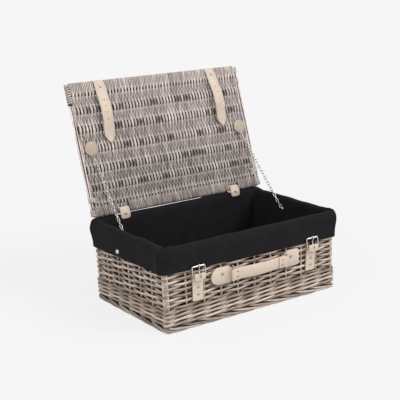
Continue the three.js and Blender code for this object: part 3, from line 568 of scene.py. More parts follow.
HEM, CUFF_TOP, CLOTH = 0.1208, 0.1776, 0.0008
CUFF_LINE = [  # (out from the walls, height), from the turned-in hem over the rim to the floor
    (0.0003, 0.1245), (0.0004, 0.1215), (0.0012, HEM), (0.0021, 0.1213), (0.0023, 0.1240), (0.0024, 0.128),
    (0.0025, 0.132), (0.0027, 0.138), (0.0032, 0.145), (0.0041, 0.152), (0.0049, 0.159), (0.0048, 0.165),
    (0.0034, 0.1702), (0.0017, 0.1742), (-0.0012, 0.1767), (-0.0055, CUFF_TOP), (-0.0098, 0.1764),
    (-0.0125, 0.1735), (-0.0139, 0.1685), (-0.0143, 0.160), (-0.0142, 0.148), (-0.0142, 0.134),
    (-0.0142, 0.118), (-0.0142, 0.1), (-0.0142, 0.08), (-0.0142, 0.06), (-0.0143, 0.042), (-0.0148, 0.028),
    (-0.0165, 0.0195), (-0.0205, 0.0158), (-0.028, 0.0149), (-0.045, 0.0147), (-0.07, 0.0147),
    (-0.095, 0.0147), (-0.118, 0.0147),
]
CLOTH_LONG, CLOTH_SHORT, CLOTH_TURN = 74, 46, 12
CLOTH_CORNER, LEAST_FLAT = 0.007, 0.002  # the tightest corner and the shortest straight of a round
CLOTH_ROUND = 1.36
CUFF_LEAN = 0.0045  # the cuff's left end follows the leaning wall
HINGE_X = 0.15  # the lid's hinge loops, and nearly so its closing straps, to each side of the middle
STUD_Y, STUD_Z, STUD_DIP = 0.026, 0.135, 0.0006


def cloth_ring(out):
    radius = max(CORNER + out, CLOTH_CORNER)
    x, y = [max(half + out - radius, LEAST_FLAT) for half in (BODY_X, BODY_Y)]
    return round_points(x, y, radius, CLOTH_LONG, CLOTH_SHORT, CLOTH_TURN)


def past(value, start, length):
    """0 up to the start, climbing to 1 over the length."""
    return min(max((value - start) / length, 0), 1)


def select_only(piece):
    bpy.ops.object.select_all(action="DESELECT")
    piece.select_set(True)
    bpy.context.view_layer.objects.active = piece


def thicken(piece, thickness):
    """Give a selected sheet its thickness, inwards from its face."""
    wall = piece.modifiers.new("wall", "SOLIDIFY")
    wall.thickness = thickness
    wall.offset = -1
    bpy.ops.object.modifier_apply(modifier=wall.name)


cloth_count = 2 * (CLOTH_LONG + CLOTH_SHORT) + 4 * CLOTH_TURN
cloth_turns = np.arange(cloth_count) / cloth_count
outer_x, outer_y = cloth_ring(0.0)[0].T
to_left = np.clip(-outer_x / BODY_X, 0, 1)
at_back = near(outer_y - BODY_Y, 0.02)
gather = near(np.hypot(abs(outer_x) - BODY_X + 0.005, abs(outer_y) - BODY_Y + 0.005), 0.035)
# The cuff stands loose at the back left corner, and has one fold near the front left corner.
loose = 0.0015 * near(np.hypot(outer_x + BODY_X, (outer_y - BODY_Y) / 2), 0.055)
folded = 0.003 * near(np.hypot(outer_x + BODY_X, outer_y + 0.127), 0.0095)
# It rises to the lid along the back, but not under the hinge loops.
by_lid = at_back * np.where(abs(outer_x + 0.04) < 0.1, 0.0024, 0.0038)
by_lid *= 1 - near(abs(outer_x) - HINGE_X, 0.0108, 4)
# The hem is drawn up at the front left corner and hangs lower at the front right one.
hem_tilt = 0.0042 * near(np.hypot(outer_x + BODY_X, outer_y + BODY_Y), 0.16)
hem_tilt -= 0.002 * near(np.hypot(outer_x - BODY_X, outer_y + BODY_Y), 0.12)
puff = ripple(cloth_turns, 0.0016, 5, 21) + gather * np.sin(2 * math.pi * 96 * cloth_turns) * 0.0011
crease = ripple(cloth_turns, 0.0034, 9, 33)
sway = ripple(cloth_turns, 0.003, 7, 27)
hem_wave = ripple(cloth_turns, 0.0011, 4, 17)
# The top edge waves, but lies flatter along the back and flat where the closing straps come down.
top_wave = ripple(cloth_turns, 0.0026, 7, 29) + gather * np.sin(2 * math.pi * 80 * cloth_turns) * 0.0011
top_wave *= 1 - 0.85 * at_back
top_wave *= 1 - near(abs(outer_x) - HINGE_X, 0.022, 4) * (outer_y < 0)
cloth_places = []
for out, height in CUFF_LINE:
    flat, facing = cloth_ring(out)
    on_cuff = math.sin(math.pi * past(height, 0.134, 0.042)) if out > -0.006 else 0
    inside = math.sin(math.pi * past(height, 0.03, 0.14)) if out < -0.012 else 0
    stud = near(np.hypot(flat[:, 1] - STUD_Y, height - STUD_Z), 0.011) * (out > 0)
    hang = np.interp(height, (0.124, 0.142, 0.158), (0, 0.4, 1)) * past(out, -0.0055, 0.0055)
    moved = on_cuff * puff - inside * abs(crease * math.cos(height * 40) + sway * math.sin(height * 60))
    moved = moved - STUD_DIP * stud + hang * loose + folded * past(out, -0.004, 0.004)
    by_hem = height - HEM if out > -0.001 else 1.0
    lift = hem_wave * max(0, 1 - by_hem / 0.02) + hem_tilt * max(0, 1 - by_hem / 0.035)
    lift = lift + top_wave * (on_cuff + max(0, 1 - abs(height - CUFF_TOP) / 0.004))
    lift = lift + by_lid * past(height, 0.165, 0.01)
    xy = flat + facing * moved[:, None]
    xy[:, 0] -= CUFF_LEAN * to_left * past(out, -0.0098, 0.0098)
    cloth_places += np.column_stack([xy, height + lift]).tolist()
cloth_faces = [[a, d, c, b] for a, b, c, d in ring_faces(len(CUFF_LINE), cloth_count)]
cloth_faces.append(list(range((len(CUFF_LINE) - 1) * cloth_count, len(CUFF_LINE) * cloth_count)))
lining = new_mesh("lining_cloth", cloth_places, cloth_faces, cotton)
cloth_run = np.concatenate([[0], np.cumsum([math.dist(a, b) for a, b in zip(CUFF_LINE, CUFF_LINE[1:])])])
threads = lining.data.uv_layers.new(name="grain").data
for loop in lining.data.loops:
    ring, i = divmod(loop.vertex_index, cloth_count)
    threads[loop.index].uv = (cloth_turns[i] * CLOTH_ROUND, cloth_run[ring])
select_only(lining)
thicken(lining, CLOTH)
lining.select_set(False)
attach(lining, "hamper")
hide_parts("lining")

# Lid: split willow rods woven front to back over flat sticks, wrapped round a stout rod at each
# long edge and tucked in, with two thin rods down each end.
LID_OPEN = math.radians(108.5)
HINGE = np.array([0.0, 0.133, 0.188])
ALONG = np.array([0.0, -math.cos(LID_OPEN), math.sin(LID_OPEN)])
INWARD = np.array([0.0, -math.sin(LID_OPEN), -math.cos(LID_OPEN)])
ROD_SPAN, ROD_RADIUS = 0.2818, 0.004
LID_STICKS = [  # (distance from the rear rod, half width, how far the strands stand off it, over what length)
    (0.0195, 0.0042, 0.0018, 0.0165), (0.057, 0.0076, 0.0034, 0.0168), (0.097, 0.0084, 0.0036, 0.018),
    (0.141, 0.0087, 0.0036, 0.0186), (0.185, 0.0087, 0.0036, 0.0184), (0.226, 0.008, 0.0035, 0.0168),
    (0.263, 0.0062, 0.003, 0.016),
]
WEAVE_X, WEAVER_PITCH = 0.2186, 0.00407
WRAP, TUCK, WRAP_END = ROD_RADIUS + 0.0006, 0.0185, 0.016
HINGE_SLOT, HINGE_GAP, HINGE_DIP = 0.0145, 0.0074, 0.0016
STRAP_X, STRAP_SLOT, STRAP_GAP = 0.149, 0.0151, 0.0125


def on_lid(x, d, height):
    x, d, height = np.broadcast_arrays(x, d, height)
    return HINGE + np.outer(d, ALONG) + np.outer(height, INWARD) + np.outer(x, RIGHT)


def wrapped_end(face):
    """(distance, height) from the tucked end over an edge rod to the given face."""
    line = [(TUCK, -face * 0.0012), (0.0155, -face * 0.003), (0.011, -face * 0.0037), (0.005, -face * 0.0043)]
    for swing in np.radians((180, 150, 120, 90, 60, 30, 0)):
        line.append((-WRAP * math.sin(swing), face * WRAP * math.cos(swing)))
    return line + [(0.005, face * 0.0043), (0.011, face * 0.0037)]


def lid_weaver(x, parity):
    """(distance, height) along one strand, over the sticks on one face and under them on the other.
    Beside a hinge loop or a closing strap it stops short of the rod."""
    faces = [parity * (-1) ** k for k in range(len(LID_STICKS))]
    by_hinge, by_strap = abs(abs(x) - HINGE_X) < HINGE_SLOT, abs(abs(x) - STRAP_X) < STRAP_SLOT
    low, high = (HINGE_GAP if by_hinge else WRAP_END), (STRAP_GAP if by_strap else WRAP_END)
    d = np.linspace(low, ROD_SPAN - high, 64)
    height = np.zeros(len(d))
    for (place, _, reach, length), face in zip(LID_STICKS, faces):
        height += face * reach * np.cos(np.clip((d - place) / length, -1, 1) * math.pi / 2) ** 2
    if by_hinge:
        height -= HINGE_DIP * np.clip((0.0175 - d) / 0.006, 0, 1)
    line = list(zip(d, height))
    if not by_hinge:
        line = wrapped_end(faces[0]) + line
    if not by_strap:
        line += [(ROD_SPAN - away, rise) for away, rise in reversed(wrapped_end(faces[-1]))]
    return np.array(line)


lid_willow = rod_finish("washed_lid_willow", (0.272, 0.222, 0.199), (0.582, 0.491, 0.45),
                        (0.96, 0.837, 0.778), (0.02, 0.0165, 0.0155))
STRAND_DEPTH, STRAND_HALF, STRAND_SWELL, LID_REACH = 0.0017, 0.0019, 0.001, 0.0036
STAINS_A_ROW, STAIN_SHADOW, STAIN_LENGTH = 9, 0.92, 0.0085
lid_rods = []
stick_at = [place for place, *_ in LID_STICKS]
bay_middles = np.linspace(0, ROD_SPAN, 15)
weaver_count = round(2 * WEAVE_X / WEAVER_PITCH) + 1
stains = [
    (place, chance.uniform(-0.21, 0.21), chance.uniform(0.0035, 0.009))
    for place in stick_at[1:-1] for _ in range(STAINS_A_ROW)
]
for number, x in enumerate(np.linspace(-WEAVE_X, WEAVE_X, weaver_count)):
    parity = 1 if number % 2 else -1
    d, height = lid_weaver(x, parity).T
    bays = np.interp(d, (0, *stick_at, ROD_SPAN), range(len(LID_STICKS) + 2))
    lean = 0.00008 * parity * np.sin(2 * math.pi * bays) + 0.00012 * np.sin(d * 70 + chance.uniform(0, 6))
    offset = np.clip(height / LID_REACH, -1, 1)
    crossing = 1 - abs(offset)
    swell = np.interp(d, stick_at, [chance.uniform(0.75, 1.2) for _ in LID_STICKS]) * abs(offset)
    # Painted shade darkens the strands towards the hinge, where strands cross (with some dirt) and a little
    # at the wrapped ends; the wash is also uneven along each strand.
    length_shade_and_stains = np.interp(d, (0.0, 0.14, ROD_SPAN), (0.34, 0.09, -0.05)) + 0.2 * crossing
    length_shade_and_stains += np.interp(d, bay_middles, [chance.uniform(0, 0.4) for _ in bay_middles])
    length_shade_and_stains += 0.04 * ((d < 0.013) | (d > ROD_SPAN - 0.013))
    # At a crossing, painted shade makes the strand that is going behind the darker of the two, and the one
    # coming in front lighter.
    behind = np.clip(-2.5 * parity * np.cos(math.pi * (bays - 1)), -1, 1)
    length_shade_and_stains += np.where(behind > 0, 0.36, 0.2) * behind * crossing
    for place, middle, reach in stains:
        if abs(x - middle) < reach:
            length_shade_and_stains = np.maximum(length_shade_and_stains, STAIN_SHADOW * near(d - place, STAIN_LENGTH))
    wrapped = np.clip((0.018 - np.minimum(d, ROD_SPAN - d)) / 0.005, 0, 1)
    spread = STRAND_HALF + STRAND_SWELL * swell
    lid_rods.append({
        "points": on_lid(x + lean, d, height), "up": RIGHT, "outward": INWARD, "offset": offset, "sink": 2.6,
        "wide": STRAND_DEPTH, "thick": spread + (STRAND_DEPTH - spread) * wrapped, "twist": 0.5, "flat": 0.6,
        "edge_shade": np.maximum(0.9 - 0.5 * abs(offset), 0.9 * wrapped), "length_shade_and_stains": length_shade_and_stains,
        "tone": chance.uniform(0.36, 0.74),
    })
lid_weave = rods_piece("lid_weave_rods", lid_rods, lid_willow, sides=6)
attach(lid_weave, "lid")
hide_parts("lid_weave")

END_RODS, END_ROD_RADIUS = (0.2222, 0.2276), 0.0018  # middles of the two thin rods at each end
STICK_X, STICK_THICK, STICK_BOW = 0.2195, 0.0008, 0.0004
# The sticks are flat, wide and fully darkened: painted shade that fills the openings between the strands.
stick_rods = []
for place, half, _, _ in LID_STICKS:
    bow = np.array([chance.uniform(-STICK_BOW, STICK_BOW) for _ in range(7)])
    stick_rods.append({
        "points": on_lid(np.linspace(-STICK_X, STICK_X, 7), place + bow, 0.0), "up": INWARD,
        "wide": half, "thick": STICK_THICK, "length_shade_and_stains": 1.0,
    })
# A thin flat dark core lies between the two rods of each end, and a thicker one in the left front binding:
# painted shade for the gaps there.
for sign in (-1, 1):
    stick_rods.append({
        "points": on_lid(sign * sum(END_RODS) / 2, np.linspace(0.004, ROD_SPAN - 0.004, 9), 0.0),
        "up": INWARD, "wide": 0.0022, "thick": 0.0012,
    })
stick_rods.append({
    "points": on_lid(-0.2249, ROD_SPAN - np.array([0.0, 0.02, 0.043]), 0.0),
    "up": INWARD, "wide": 0.0058, "thick": 0.0034,
})
sticks = rods_piece("lid_stick_rods", stick_rods, shaded_willow, sides=8)
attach(sticks, "lid")

# Painted shade darkens the long edge rods under the wrapped strands, and their eased ends stand out bare.
edge_x = np.array([-0.2295, -0.222, *np.linspace(-0.2175, 0.2175, 9), 0.222, 0.2295])
for edge, d in (("rear", 0.0), ("front", ROD_SPAN)):
    edge_rod = rods_piece(f"lid_{edge}_edge_rod", [{
        "points": on_lid(edge_x, d, 0.0), "up": INWARD,
        "wide": ROD_RADIUS * np.where(abs(edge_x) > 0.229, 0.85, 1), "tone": 0.3,
        "length_shade_and_stains": np.where(abs(edge_x) < WEAVE_X, 0.9, 0.1),
    }], lid_willow, sides=14)
    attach(edge_rod, "lid")
    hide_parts(f"lid_{edge}_rod")

SIDES = (("left", -1), ("right", 1))
for side, sign in SIDES:
    pair = []
    for number, x in enumerate(END_RODS):
        d = np.linspace(0.003, ROD_SPAN - 0.003, 18)
        sideways, rise = 0.0003 * np.sin(d * 45 + number), 0.0008 * np.sin(d * 25 + 2 * number)
        pair.append({
            "points": on_lid(sign * (x + sideways), d, rise), "up": INWARD,
            "wide": END_ROD_RADIUS * (1 + 0.08 * np.sin(d * 60 + number)), "tone": 0.6,
        })
    end_rods = rods_piece(f"lid_end_rods_{side}", pair, lid_willow, sides=8)
    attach(end_rods, "lid")
    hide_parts(f"lid_side_rod_{side}")

# Corner bindings: split willow skein wound round the end rods at each corner of the lid. Three
# corners also have a few slanting turns round the end of the next stick.
skein = rod_finish("split_skein", (0.2, 0.172, 0.152), (0.37, 0.325, 0.29), (0.55, 0.495, 0.45),
                   (0.02, 0.015, 0.012))
COIL_X, COIL_HALF, COIL_RISE, COIL_WIDE, COIL_THICK = 0.2244, 0.0056, 0.0048, 0.0021, 0.0008
LONG_COIL, SHORT_COIL, COIL_OVER = (0.041, 8), (0.0125, 3), 0.001  # (length, turns), and how far past the rod
TIE_X, TIE_HALF, TIE_RISE, TIE_WIDE, TIE_THICK = 0.2188, 0.0105, 0.0058, 0.0017, 0.0006
TIE_DISTANCE = 0.032
TIE_SLANTS = ((0.45, -0.0045), (0.5, -0.001), (0.42, 0.0028), (-0.4, 0.001))  # (slant, shift along the end)


def round_lid_end(x, half_width, rise, swing, d):
    """Points wound round a lid end at x, with the direction away from its middle at each."""
    radial = np.outer(np.cos(swing), RIGHT) + np.outer(np.sin(swing), INWARD)
    return {"points": on_lid(x + half_width * np.cos(swing), d, rise * np.sin(swing)), "up": radial}


for edge, corner_d, way in (("rear", 0.0, 1), ("front", ROD_SPAN, -1)):
    for side, sign in SIDES:
        whole = edge == "front" and side == "left"
        length, turns = LONG_COIL if whole else SHORT_COIL
        swing = np.linspace(0, 2 * math.pi * turns, turns * 14 + 1)
        d = corner_d - way * COIL_OVER + way * length * swing / swing[-1]
        strands = [{
            **round_lid_end(sign * COIL_X, COIL_HALF, COIL_RISE, swing, d),
            "wide": COIL_WIDE, "thick": COIL_THICK, "tone": chance.uniform(0.5, 0.8),
        }]
        swing = np.linspace(0, 2 * math.pi, 28, endpoint=False)
        ties = () if whole else TIE_SLANTS
        for slant, shift in ties:
            d = corner_d + way * TIE_DISTANCE + shift + sign * slant * TIE_HALF * np.cos(swing)
            strands.append({
                **round_lid_end(sign * TIE_X, TIE_HALF, TIE_RISE, swing, d), "closed": True,
                "wide": TIE_WIDE, "thick": TIE_THICK, "tone": chance.uniform(0.4, 1),
            })
        binding = rods_piece(f"corner_binding_skein_{edge}_{side}", strands, skein)
        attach(binding, "lid")
        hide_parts(f"corner_binding_{edge}_{side}")


# Chain patches: an octagon of tan leather glued to each end of the lid's inner face, where the
# stay chain comes out.
def leather_finish(name, pale, deep, edge):
    def colour(tree):
        face = ramp(tree, noise(tree, on_object(tree), (45, 45, 45), 4.0), [(0.3, deep), (0.7, pale)])
        specks = ramp(tree, noise(tree, on_object(tree), (900, 900, 900), 2.0), [
            (0.3, (0.86, 0.85, 0.84)), (0.5, (1.0, 1.0, 1.0)),
        ])
        grained = mixed(tree, 0.6, face, specks, "MULTIPLY")
        return mixed(tree, attribute(tree, "edge"), grained, (*edge, 1))

    def roughness(tree):
        return uneven(tree, on_object(tree), (400, 400, 400), 0.25, 0.42)

    def normal(tree):
        pores = node(tree, "ShaderNodeTexVoronoi", {"Vector": on_object(tree), "Scale": 1300.0})
        return bumped(tree, pores.outputs["Distance"], 0.18, 0.0004)

    return finish_of(name, colour, roughness, normal)


tan_leather = leather_finish("tan_leather", (0.4, 0.318, 0.242), (0.345, 0.272, 0.206), (0.21, 0.155, 0.11))
PATCH_RADIUS, PATCH_X, PATCH_DISTANCE, PATCH_SIDES, LEATHER = 0.0175, 0.2, 0.1415, 8, 0.0021
PATCH_RINGS = (  # (share of the radius, height off the lid's middle, 1 on the cut edge)
    (0.0, 0.0063, 0), (1.0, 0.0063, 1), (1.0, 0.0076, 1),
    (0.93, 0.0084, 0), (0.5, 0.0088, 0), (0.0, 0.009, 0),
)
for side, sign in SIDES:
    places, edges = [], []
    for reach, height, is_edge in PATCH_RINGS:
        swing = 2 * math.pi / PATCH_SIDES * (np.arange(PATCH_SIDES) + 0.5)
        x = sign * PATCH_X + PATCH_RADIUS * reach * np.cos(swing)
        places += on_lid(x, PATCH_DISTANCE + PATCH_RADIUS * reach * np.sin(swing), height).tolist()
        edges += [is_edge] * PATCH_SIDES
    faces = ring_faces(len(PATCH_RINGS), PATCH_SIDES)
    patch = new_mesh(f"chain_patch_leather_{side}", places, faces, tan_leather)
    mark(patch, "edge", edges)
    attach(patch, "lid")
    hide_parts(f"chain_patch_{side}")


# Hinge loops: a strap of pale leather passed round the lid's rear rod, doubled, riveted and left
# hanging inside the lining with a rounded end.
def arc(middle, reach, swings):
    """Points round a middle, at swings in degrees."""
    return [(middle[0] + reach * math.cos(a), middle[1] + reach * math.sin(a)) for a in np.radians(swings)]


def smooth_line(corners, step):
    """Evenly spaced points on a smooth curve through the corners."""
    corners = np.asarray(corners, float)
    padded = np.vstack([2 * corners[0] - corners[1], corners, 2 * corners[-1] - corners[-2]])
    t = np.linspace(0, 1, 12, endpoint=False)[:, None]
    curve = []
    for a, b, c, d in zip(padded, padded[1:], padded[2:], padded[3:]):
        bend = (2 * a - 5 * b + 4 * c - d) * t**2 + (3 * b - a - 3 * c + d) * t**3
        curve.append(b + ((c - a) * t + bend) / 2)
    curve = np.vstack([*curve, corners[-1:]])
    run = np.concatenate([[0], np.cumsum(np.linalg.norm(np.diff(curve, axis=0), axis=1))])
    at = np.linspace(0, run[-1], max(3, round(run[-1] / step) + 1))
    return np.column_stack([np.interp(at, run, curve[:, i]) for i in range(curve.shape[1])]), at


def strip_piece(name, line, across, half_width, thickness, finish):
    """A leather strip along a line of points, as wide each way as half_width, with eased edges."""
    line, across = np.asarray(line, float), np.asarray(across, float)
    rings = len(line)
    along = unit(np.gradient(line, axis=0))
    out = unit(np.cross(across, along))
    wide = np.broadcast_to(half_width, rings)
    high = thickness / 2
    ease = high * 0.55
    crown = high * 1.04
    section = [
        (1, 0, -high + ease), (1, 0, high - ease), (1, ease, high), (0, 0, crown), (-1, ease, high),
        (-1, 0, high - ease), (-1, 0, -high + ease), (-1, ease, -high), (0, 0, -crown), (1, ease, -high),
    ]
    places, edges = [], []
    for i in range(rings):
        for way, inset, height in section:
            places.append(line[i] + across * way * (wide[i] - min(inset, wide[i] * 0.5)) + out[i] * height)
            edges.append(1.0 if way and not inset else 0.0)
    sides = len(section)
    faces = ring_faces(rings, sides)
    faces.append(list(range(sides)))
    faces.append(list(range(rings * sides - 1, (rings - 1) * sides - 1, -1)))
    piece = new_mesh(name, places, faces, finish)
    mark(piece, "edge", edges)
    select_only(piece)
    bpy.ops.object.shade_smooth_by_angle(angle=math.radians(50))
    piece.select_set(False)
    return piece


def metal_finish(name, colour, base_roughness):
    def tint(tree):
        return ramp(tree, noise(tree, on_object(tree), (220, 220, 220)), [
            (0.35, tuple(c * 0.88 for c in colour)), (0.65, colour),
        ])

    def roughness(tree):
        return uneven(tree, on_object(tree), (700, 700, 700), 0.2, base_roughness)

    def normal(tree):
        return bumped(tree, noise(tree, on_object(tree), (1500, 1500, 1500)), 0.05, 0.0002)

    return finish_of(name, tint, roughness, normal, Metallic=1.0)


def dome_rods(places, radius, dome=0.5):
    """Round rivet heads at (place, facing)."""
    rods = []
    for at, facing in places:
        swing = np.radians([0, 0, 22, 42, 60, 75, 88])
        lift = np.array([0, 0.1, 0.1, 0.1, 0.1, 0.1, 0.1]) * radius + dome * radius * np.sin(swing)
        facing = unit(np.asarray(facing, float))
        up = np.cross(facing, (0.31, 0.52, 0.8))
        rods.append({
            "points": np.asarray(at) + np.outer(lift + np.linspace(0, 1e-5, len(lift)), facing),
            "up": up, "wide": radius * np.cos(swing), "tone": 0.5,
        })
    return rods


pale_leather = leather_finish("pale_leather", (0.58, 0.474, 0.385), (0.523, 0.425, 0.343),
                              (0.385, 0.293, 0.212))
nickel = metal_finish("nickel_plate", (0.55, 0.54, 0.53), 0.2)
rivet_steel = metal_finish("rivet_steel", (0.36, 0.335, 0.31), 0.22)
CLEARANCE = 0.0003  # between leather and what it lies on
LOOP_REACH = ROD_RADIUS + CLEARANCE + LEATHER / 2
HINGE_HALF, HINGE_ROUNDING, RIVET_RADIUS = 0.0122, 0.005, 0.0036
tail_end = np.array([-0.00885, -0.0101])
tail_start = np.array([-0.004, 0.0])
tail_way = unit(tail_start - tail_end)
tail_out = np.array([-tail_way[1], tail_way[0]])
hinge_corners = [(-0.00885, -0.0172), (-0.00885, -0.0145), (-0.0088, -0.0112)]
hinge_corners += [tuple(tail_end + tail_way * s + tail_out * LEATHER / 2) for s in (0.0035, 0.0075, 0.0105)]
hinge_corners += arc((0, 0), LOOP_REACH, (125, 80, 35, -10, -55, -100, -140))
hinge_corners += [tuple(tail_end + tail_way * s - tail_out * LEATHER / 2) for s in (0.009, 0.005, 0.002)]
hinge_line, hinge_run = smooth_line(hinge_corners, 0.0008)
rounding = np.clip(1 - hinge_run / HINGE_ROUNDING, 0, 1)
hinge_wide = HINGE_HALF - HINGE_ROUNDING * (1 - np.sqrt(1 - rounding**2))
hinge_rivet = tail_start + (tail_end - tail_start) * 0.6 + tail_out * (LEATHER + 0.0001)
rivet_places = []
for side, sign in SIDES:
    at = HINGE + np.array([sign * HINGE_X, 0, 0])
    loop = strip_piece(
        f"hinge_loop_leather_{side}", at + np.column_stack([np.zeros(len(hinge_line)), hinge_line]),
        RIGHT, hinge_wide, LEATHER, pale_leather,
    )
    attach(loop, "hamper")
    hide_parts(f"hinge_loop_{side}")
    rivet_places.append((at + np.array([0, *hinge_rivet]), (0, *tail_out)))
hinge_rivets = rods_piece("hinge_rivet_heads", dome_rods(rivet_places, RIVET_RADIUS), rivet_steel, sides=18)
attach(hinge_rivets, "hamper")
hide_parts("hinge_rivet_left", "hinge_rivet_right")

# Closing straps: pale leather looped round the lid's front rod and riveted, lying down the lid's
# inner face with a row of buckle holes and a pointed end. The right one lies a little askew.
STRAP_HALF, STRAP_REACH, STRAP_POINT, STRAP_TIP = 0.013, 0.1316, 0.013, 0.0035
STRAP_LIFT, STRAP_ARCH, STRAP_RIVET_AT = 0.00735, 0.009, 0.009
HOLE_START, HOLE_PITCH, HOLES, HOLE_RADIUS = 0.0396, 0.0143, 4, 0.0015
PIVOT = HINGE + ROD_SPAN * ALONG


def strap_height(distance):
    return STRAP_LIFT + STRAP_ARCH * math.sin(math.pi * distance / STRAP_REACH) ** 2


strap_corners = [(0.0165, 0.0046), (0.0125, 0.0036), (0.0085, 0.0005)]
strap_corners += arc((0, 0), LOOP_REACH, (-50, -90, -135, -180, -225))
strap_corners += [(0.0, LOOP_REACH), (0.005, 0.0062)]
strap_corners += [(d, strap_height(d)) for d in np.linspace(0.0105, STRAP_REACH, 14)]
strap_line, strap_run = smooth_line(strap_corners, 0.0018)
from_tip = strap_run[-1] - strap_run
strap_wide = np.interp(from_tip, (0, 0.0004, STRAP_POINT, STRAP_POINT + 0.004),
                       (STRAP_TIP * 0.8, STRAP_TIP, STRAP_HALF - 0.0006, STRAP_HALF))


def on_strap(x, a, b):
    return PIVOT + np.array([x, 0, 0]) - a * ALONG + b * INWARD


def cut_out(piece, tool):
    """Cut the tool's shape out of a piece."""
    select_only(piece)
    cut = piece.modifiers.new("cut", "BOOLEAN")
    cut.object = tool
    cut.operation = "DIFFERENCE"
    bpy.ops.object.modifier_apply(modifier=cut.name)
    bpy.data.objects.remove(tool)
    piece.select_set(False)


def bored(piece, places, direction, radius):
    """Round holes through a piece."""
    way = np.asarray(direction, float)
    turn = (math.atan2(math.hypot(way[0], way[1]), way[2]), 0, math.atan2(way[1], way[0]) + math.pi / 2)
    for place in places:
        bpy.ops.mesh.primitive_cylinder_add(vertices=14, radius=radius, depth=0.02, location=place)
        drill = bpy.context.object
        drill.rotation_euler = turn
        cut_out(piece, drill)


for side, sign, askew in (("left", -1, 0.0), ("right", 1, 0.045)):
    x = sign * STRAP_X
    strap = strip_piece(
        f"closing_strap_leather_{side}", [on_strap(x + askew * max(a, 0), a, b) for a, b in strap_line],
        RIGHT, strap_wide, LEATHER, pale_leather,
    )
    holes = [HOLE_START + i * HOLE_PITCH for i in range(HOLES)]
    bored(strap, [on_strap(x + askew * d, d, strap_height(d)) for d in holes], INWARD, HOLE_RADIUS)
    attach(strap, f"closing_strap_{side}")
    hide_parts(f"closing_strap_{side}")
    rivet_at = on_strap(x, STRAP_RIVET_AT, strap_height(STRAP_RIVET_AT) + LEATHER / 2 - CLEARANCE)
    head = dome_rods([(rivet_at, INWARD)], RIVET_RADIUS)
    strap_rivet = rods_piece(f"closing_strap_rivet_head_{side}", head, rivet_steel, sides=18)
    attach(strap_rivet, f"closing_strap_{side}")
    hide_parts(f"closing_strap_rivet_{side}")

# Buckle straps: a short length of pale leather riveted to the front wall, its upper end turned
# over the buckle's lower bar and slit for the prong. The right one hangs a little askew.
FRONT, FRONTWARD = -BODY_Y, (0, -1, 0)
BAR_BORE, WIRE = 0.0017, 0.0013
BUCKLE_Y, BUCKLE_Z, BUCKLE_LEAN = -0.1473125, 0.112, math.radians(10)
BUCKLE_RIVET_RADIUS, BUCKLE_RIVET_HEIGHTS = 0.003, (0.086, 0.071)
BAR_REACH = BAR_BORE + LEATHER / 2
SLIT, SLIT_RISE = (0.005, 0.016, 0.0113), 0.0006
wall_side = FRONT - CLEARANCE - LEATHER / 2
bar_front = BUCKLE_Y - BAR_REACH
buckle_corners = [
    (wall_side, 0.058), (wall_side, 0.07), (wall_side, 0.085), (wall_side - 0.0002, 0.098),
    (wall_side - 0.0015, 0.105), (BUCKLE_Y + BAR_REACH, BUCKLE_Z - 0.0005),
    *arc((BUCKLE_Y, BUCKLE_Z), BAR_REACH, (40, 90, 140)),
    (bar_front, BUCKLE_Z - 0.001), (bar_front + 0.0002, BUCKLE_Z - 0.005),
    (bar_front + 0.0006, BUCKLE_Z - 0.0095),
]
buckle_line, buckle_run = smooth_line(buckle_corners, 0.001)
corner_ease = np.minimum(buckle_run, buckle_run[-1] - buckle_run)
buckle_wide = STRAP_HALF - 0.0012 * np.clip(1 - corner_ease / 0.0012, 0, 1)
wall_rivets = []
for side, sign, askew in (("left", -1, 0.0), ("right", 1, 0.05)):
    x = sign * STRAP_X
    line = np.column_stack([x + askew * (buckle_line[:, 1] - BUCKLE_Z), buckle_line])
    strap = strip_piece(f"buckle_strap_leather_{side}", line, RIGHT, buckle_wide, LEATHER, pale_leather)
    bpy.ops.mesh.primitive_cube_add(size=1, location=(x, BUCKLE_Y, BUCKLE_Z + SLIT_RISE))
    slit = bpy.context.object
    slit.scale = SLIT
    cut_out(strap, slit)
    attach(strap, "hamper")
    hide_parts(f"buckle_strap_{side}")
    for z in BUCKLE_RIVET_HEIGHTS:
        wall_rivets.append(((x + askew * (z - BUCKLE_Z), FRONT - CLEARANCE - LEATHER, z), FRONTWARD))
strap_rivets = rods_piece(
    "buckle_strap_rivet_heads", dome_rods(wall_rivets, BUCKLE_RIVET_RADIUS), rivet_steel, sides=18,
)
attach(strap_rivets, "hamper")
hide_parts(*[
    f"buckle_strap_rivet_{side}_{level}" for side in ("left", "right") for level in ("upper", "lower")
])


# Buckles: a bent frame of nickel-plated wire with a tube roller on its top bar and a prong that
# turns on its lower bar.
def wire_loop(length, height, corner, per_corner=6):
    """A closed round-cornered loop, (along, up) from its middle."""
    points = []
    for quarter, (sx, sz) in enumerate(((1, 1), (-1, 1), (-1, -1), (1, -1))):
        middle = (sx * (length / 2 - corner), sz * (height / 2 - corner))
        points += arc(middle, corner, [90 * (quarter + step / per_corner) for step in range(per_corner + 1)])
    return np.array(points)


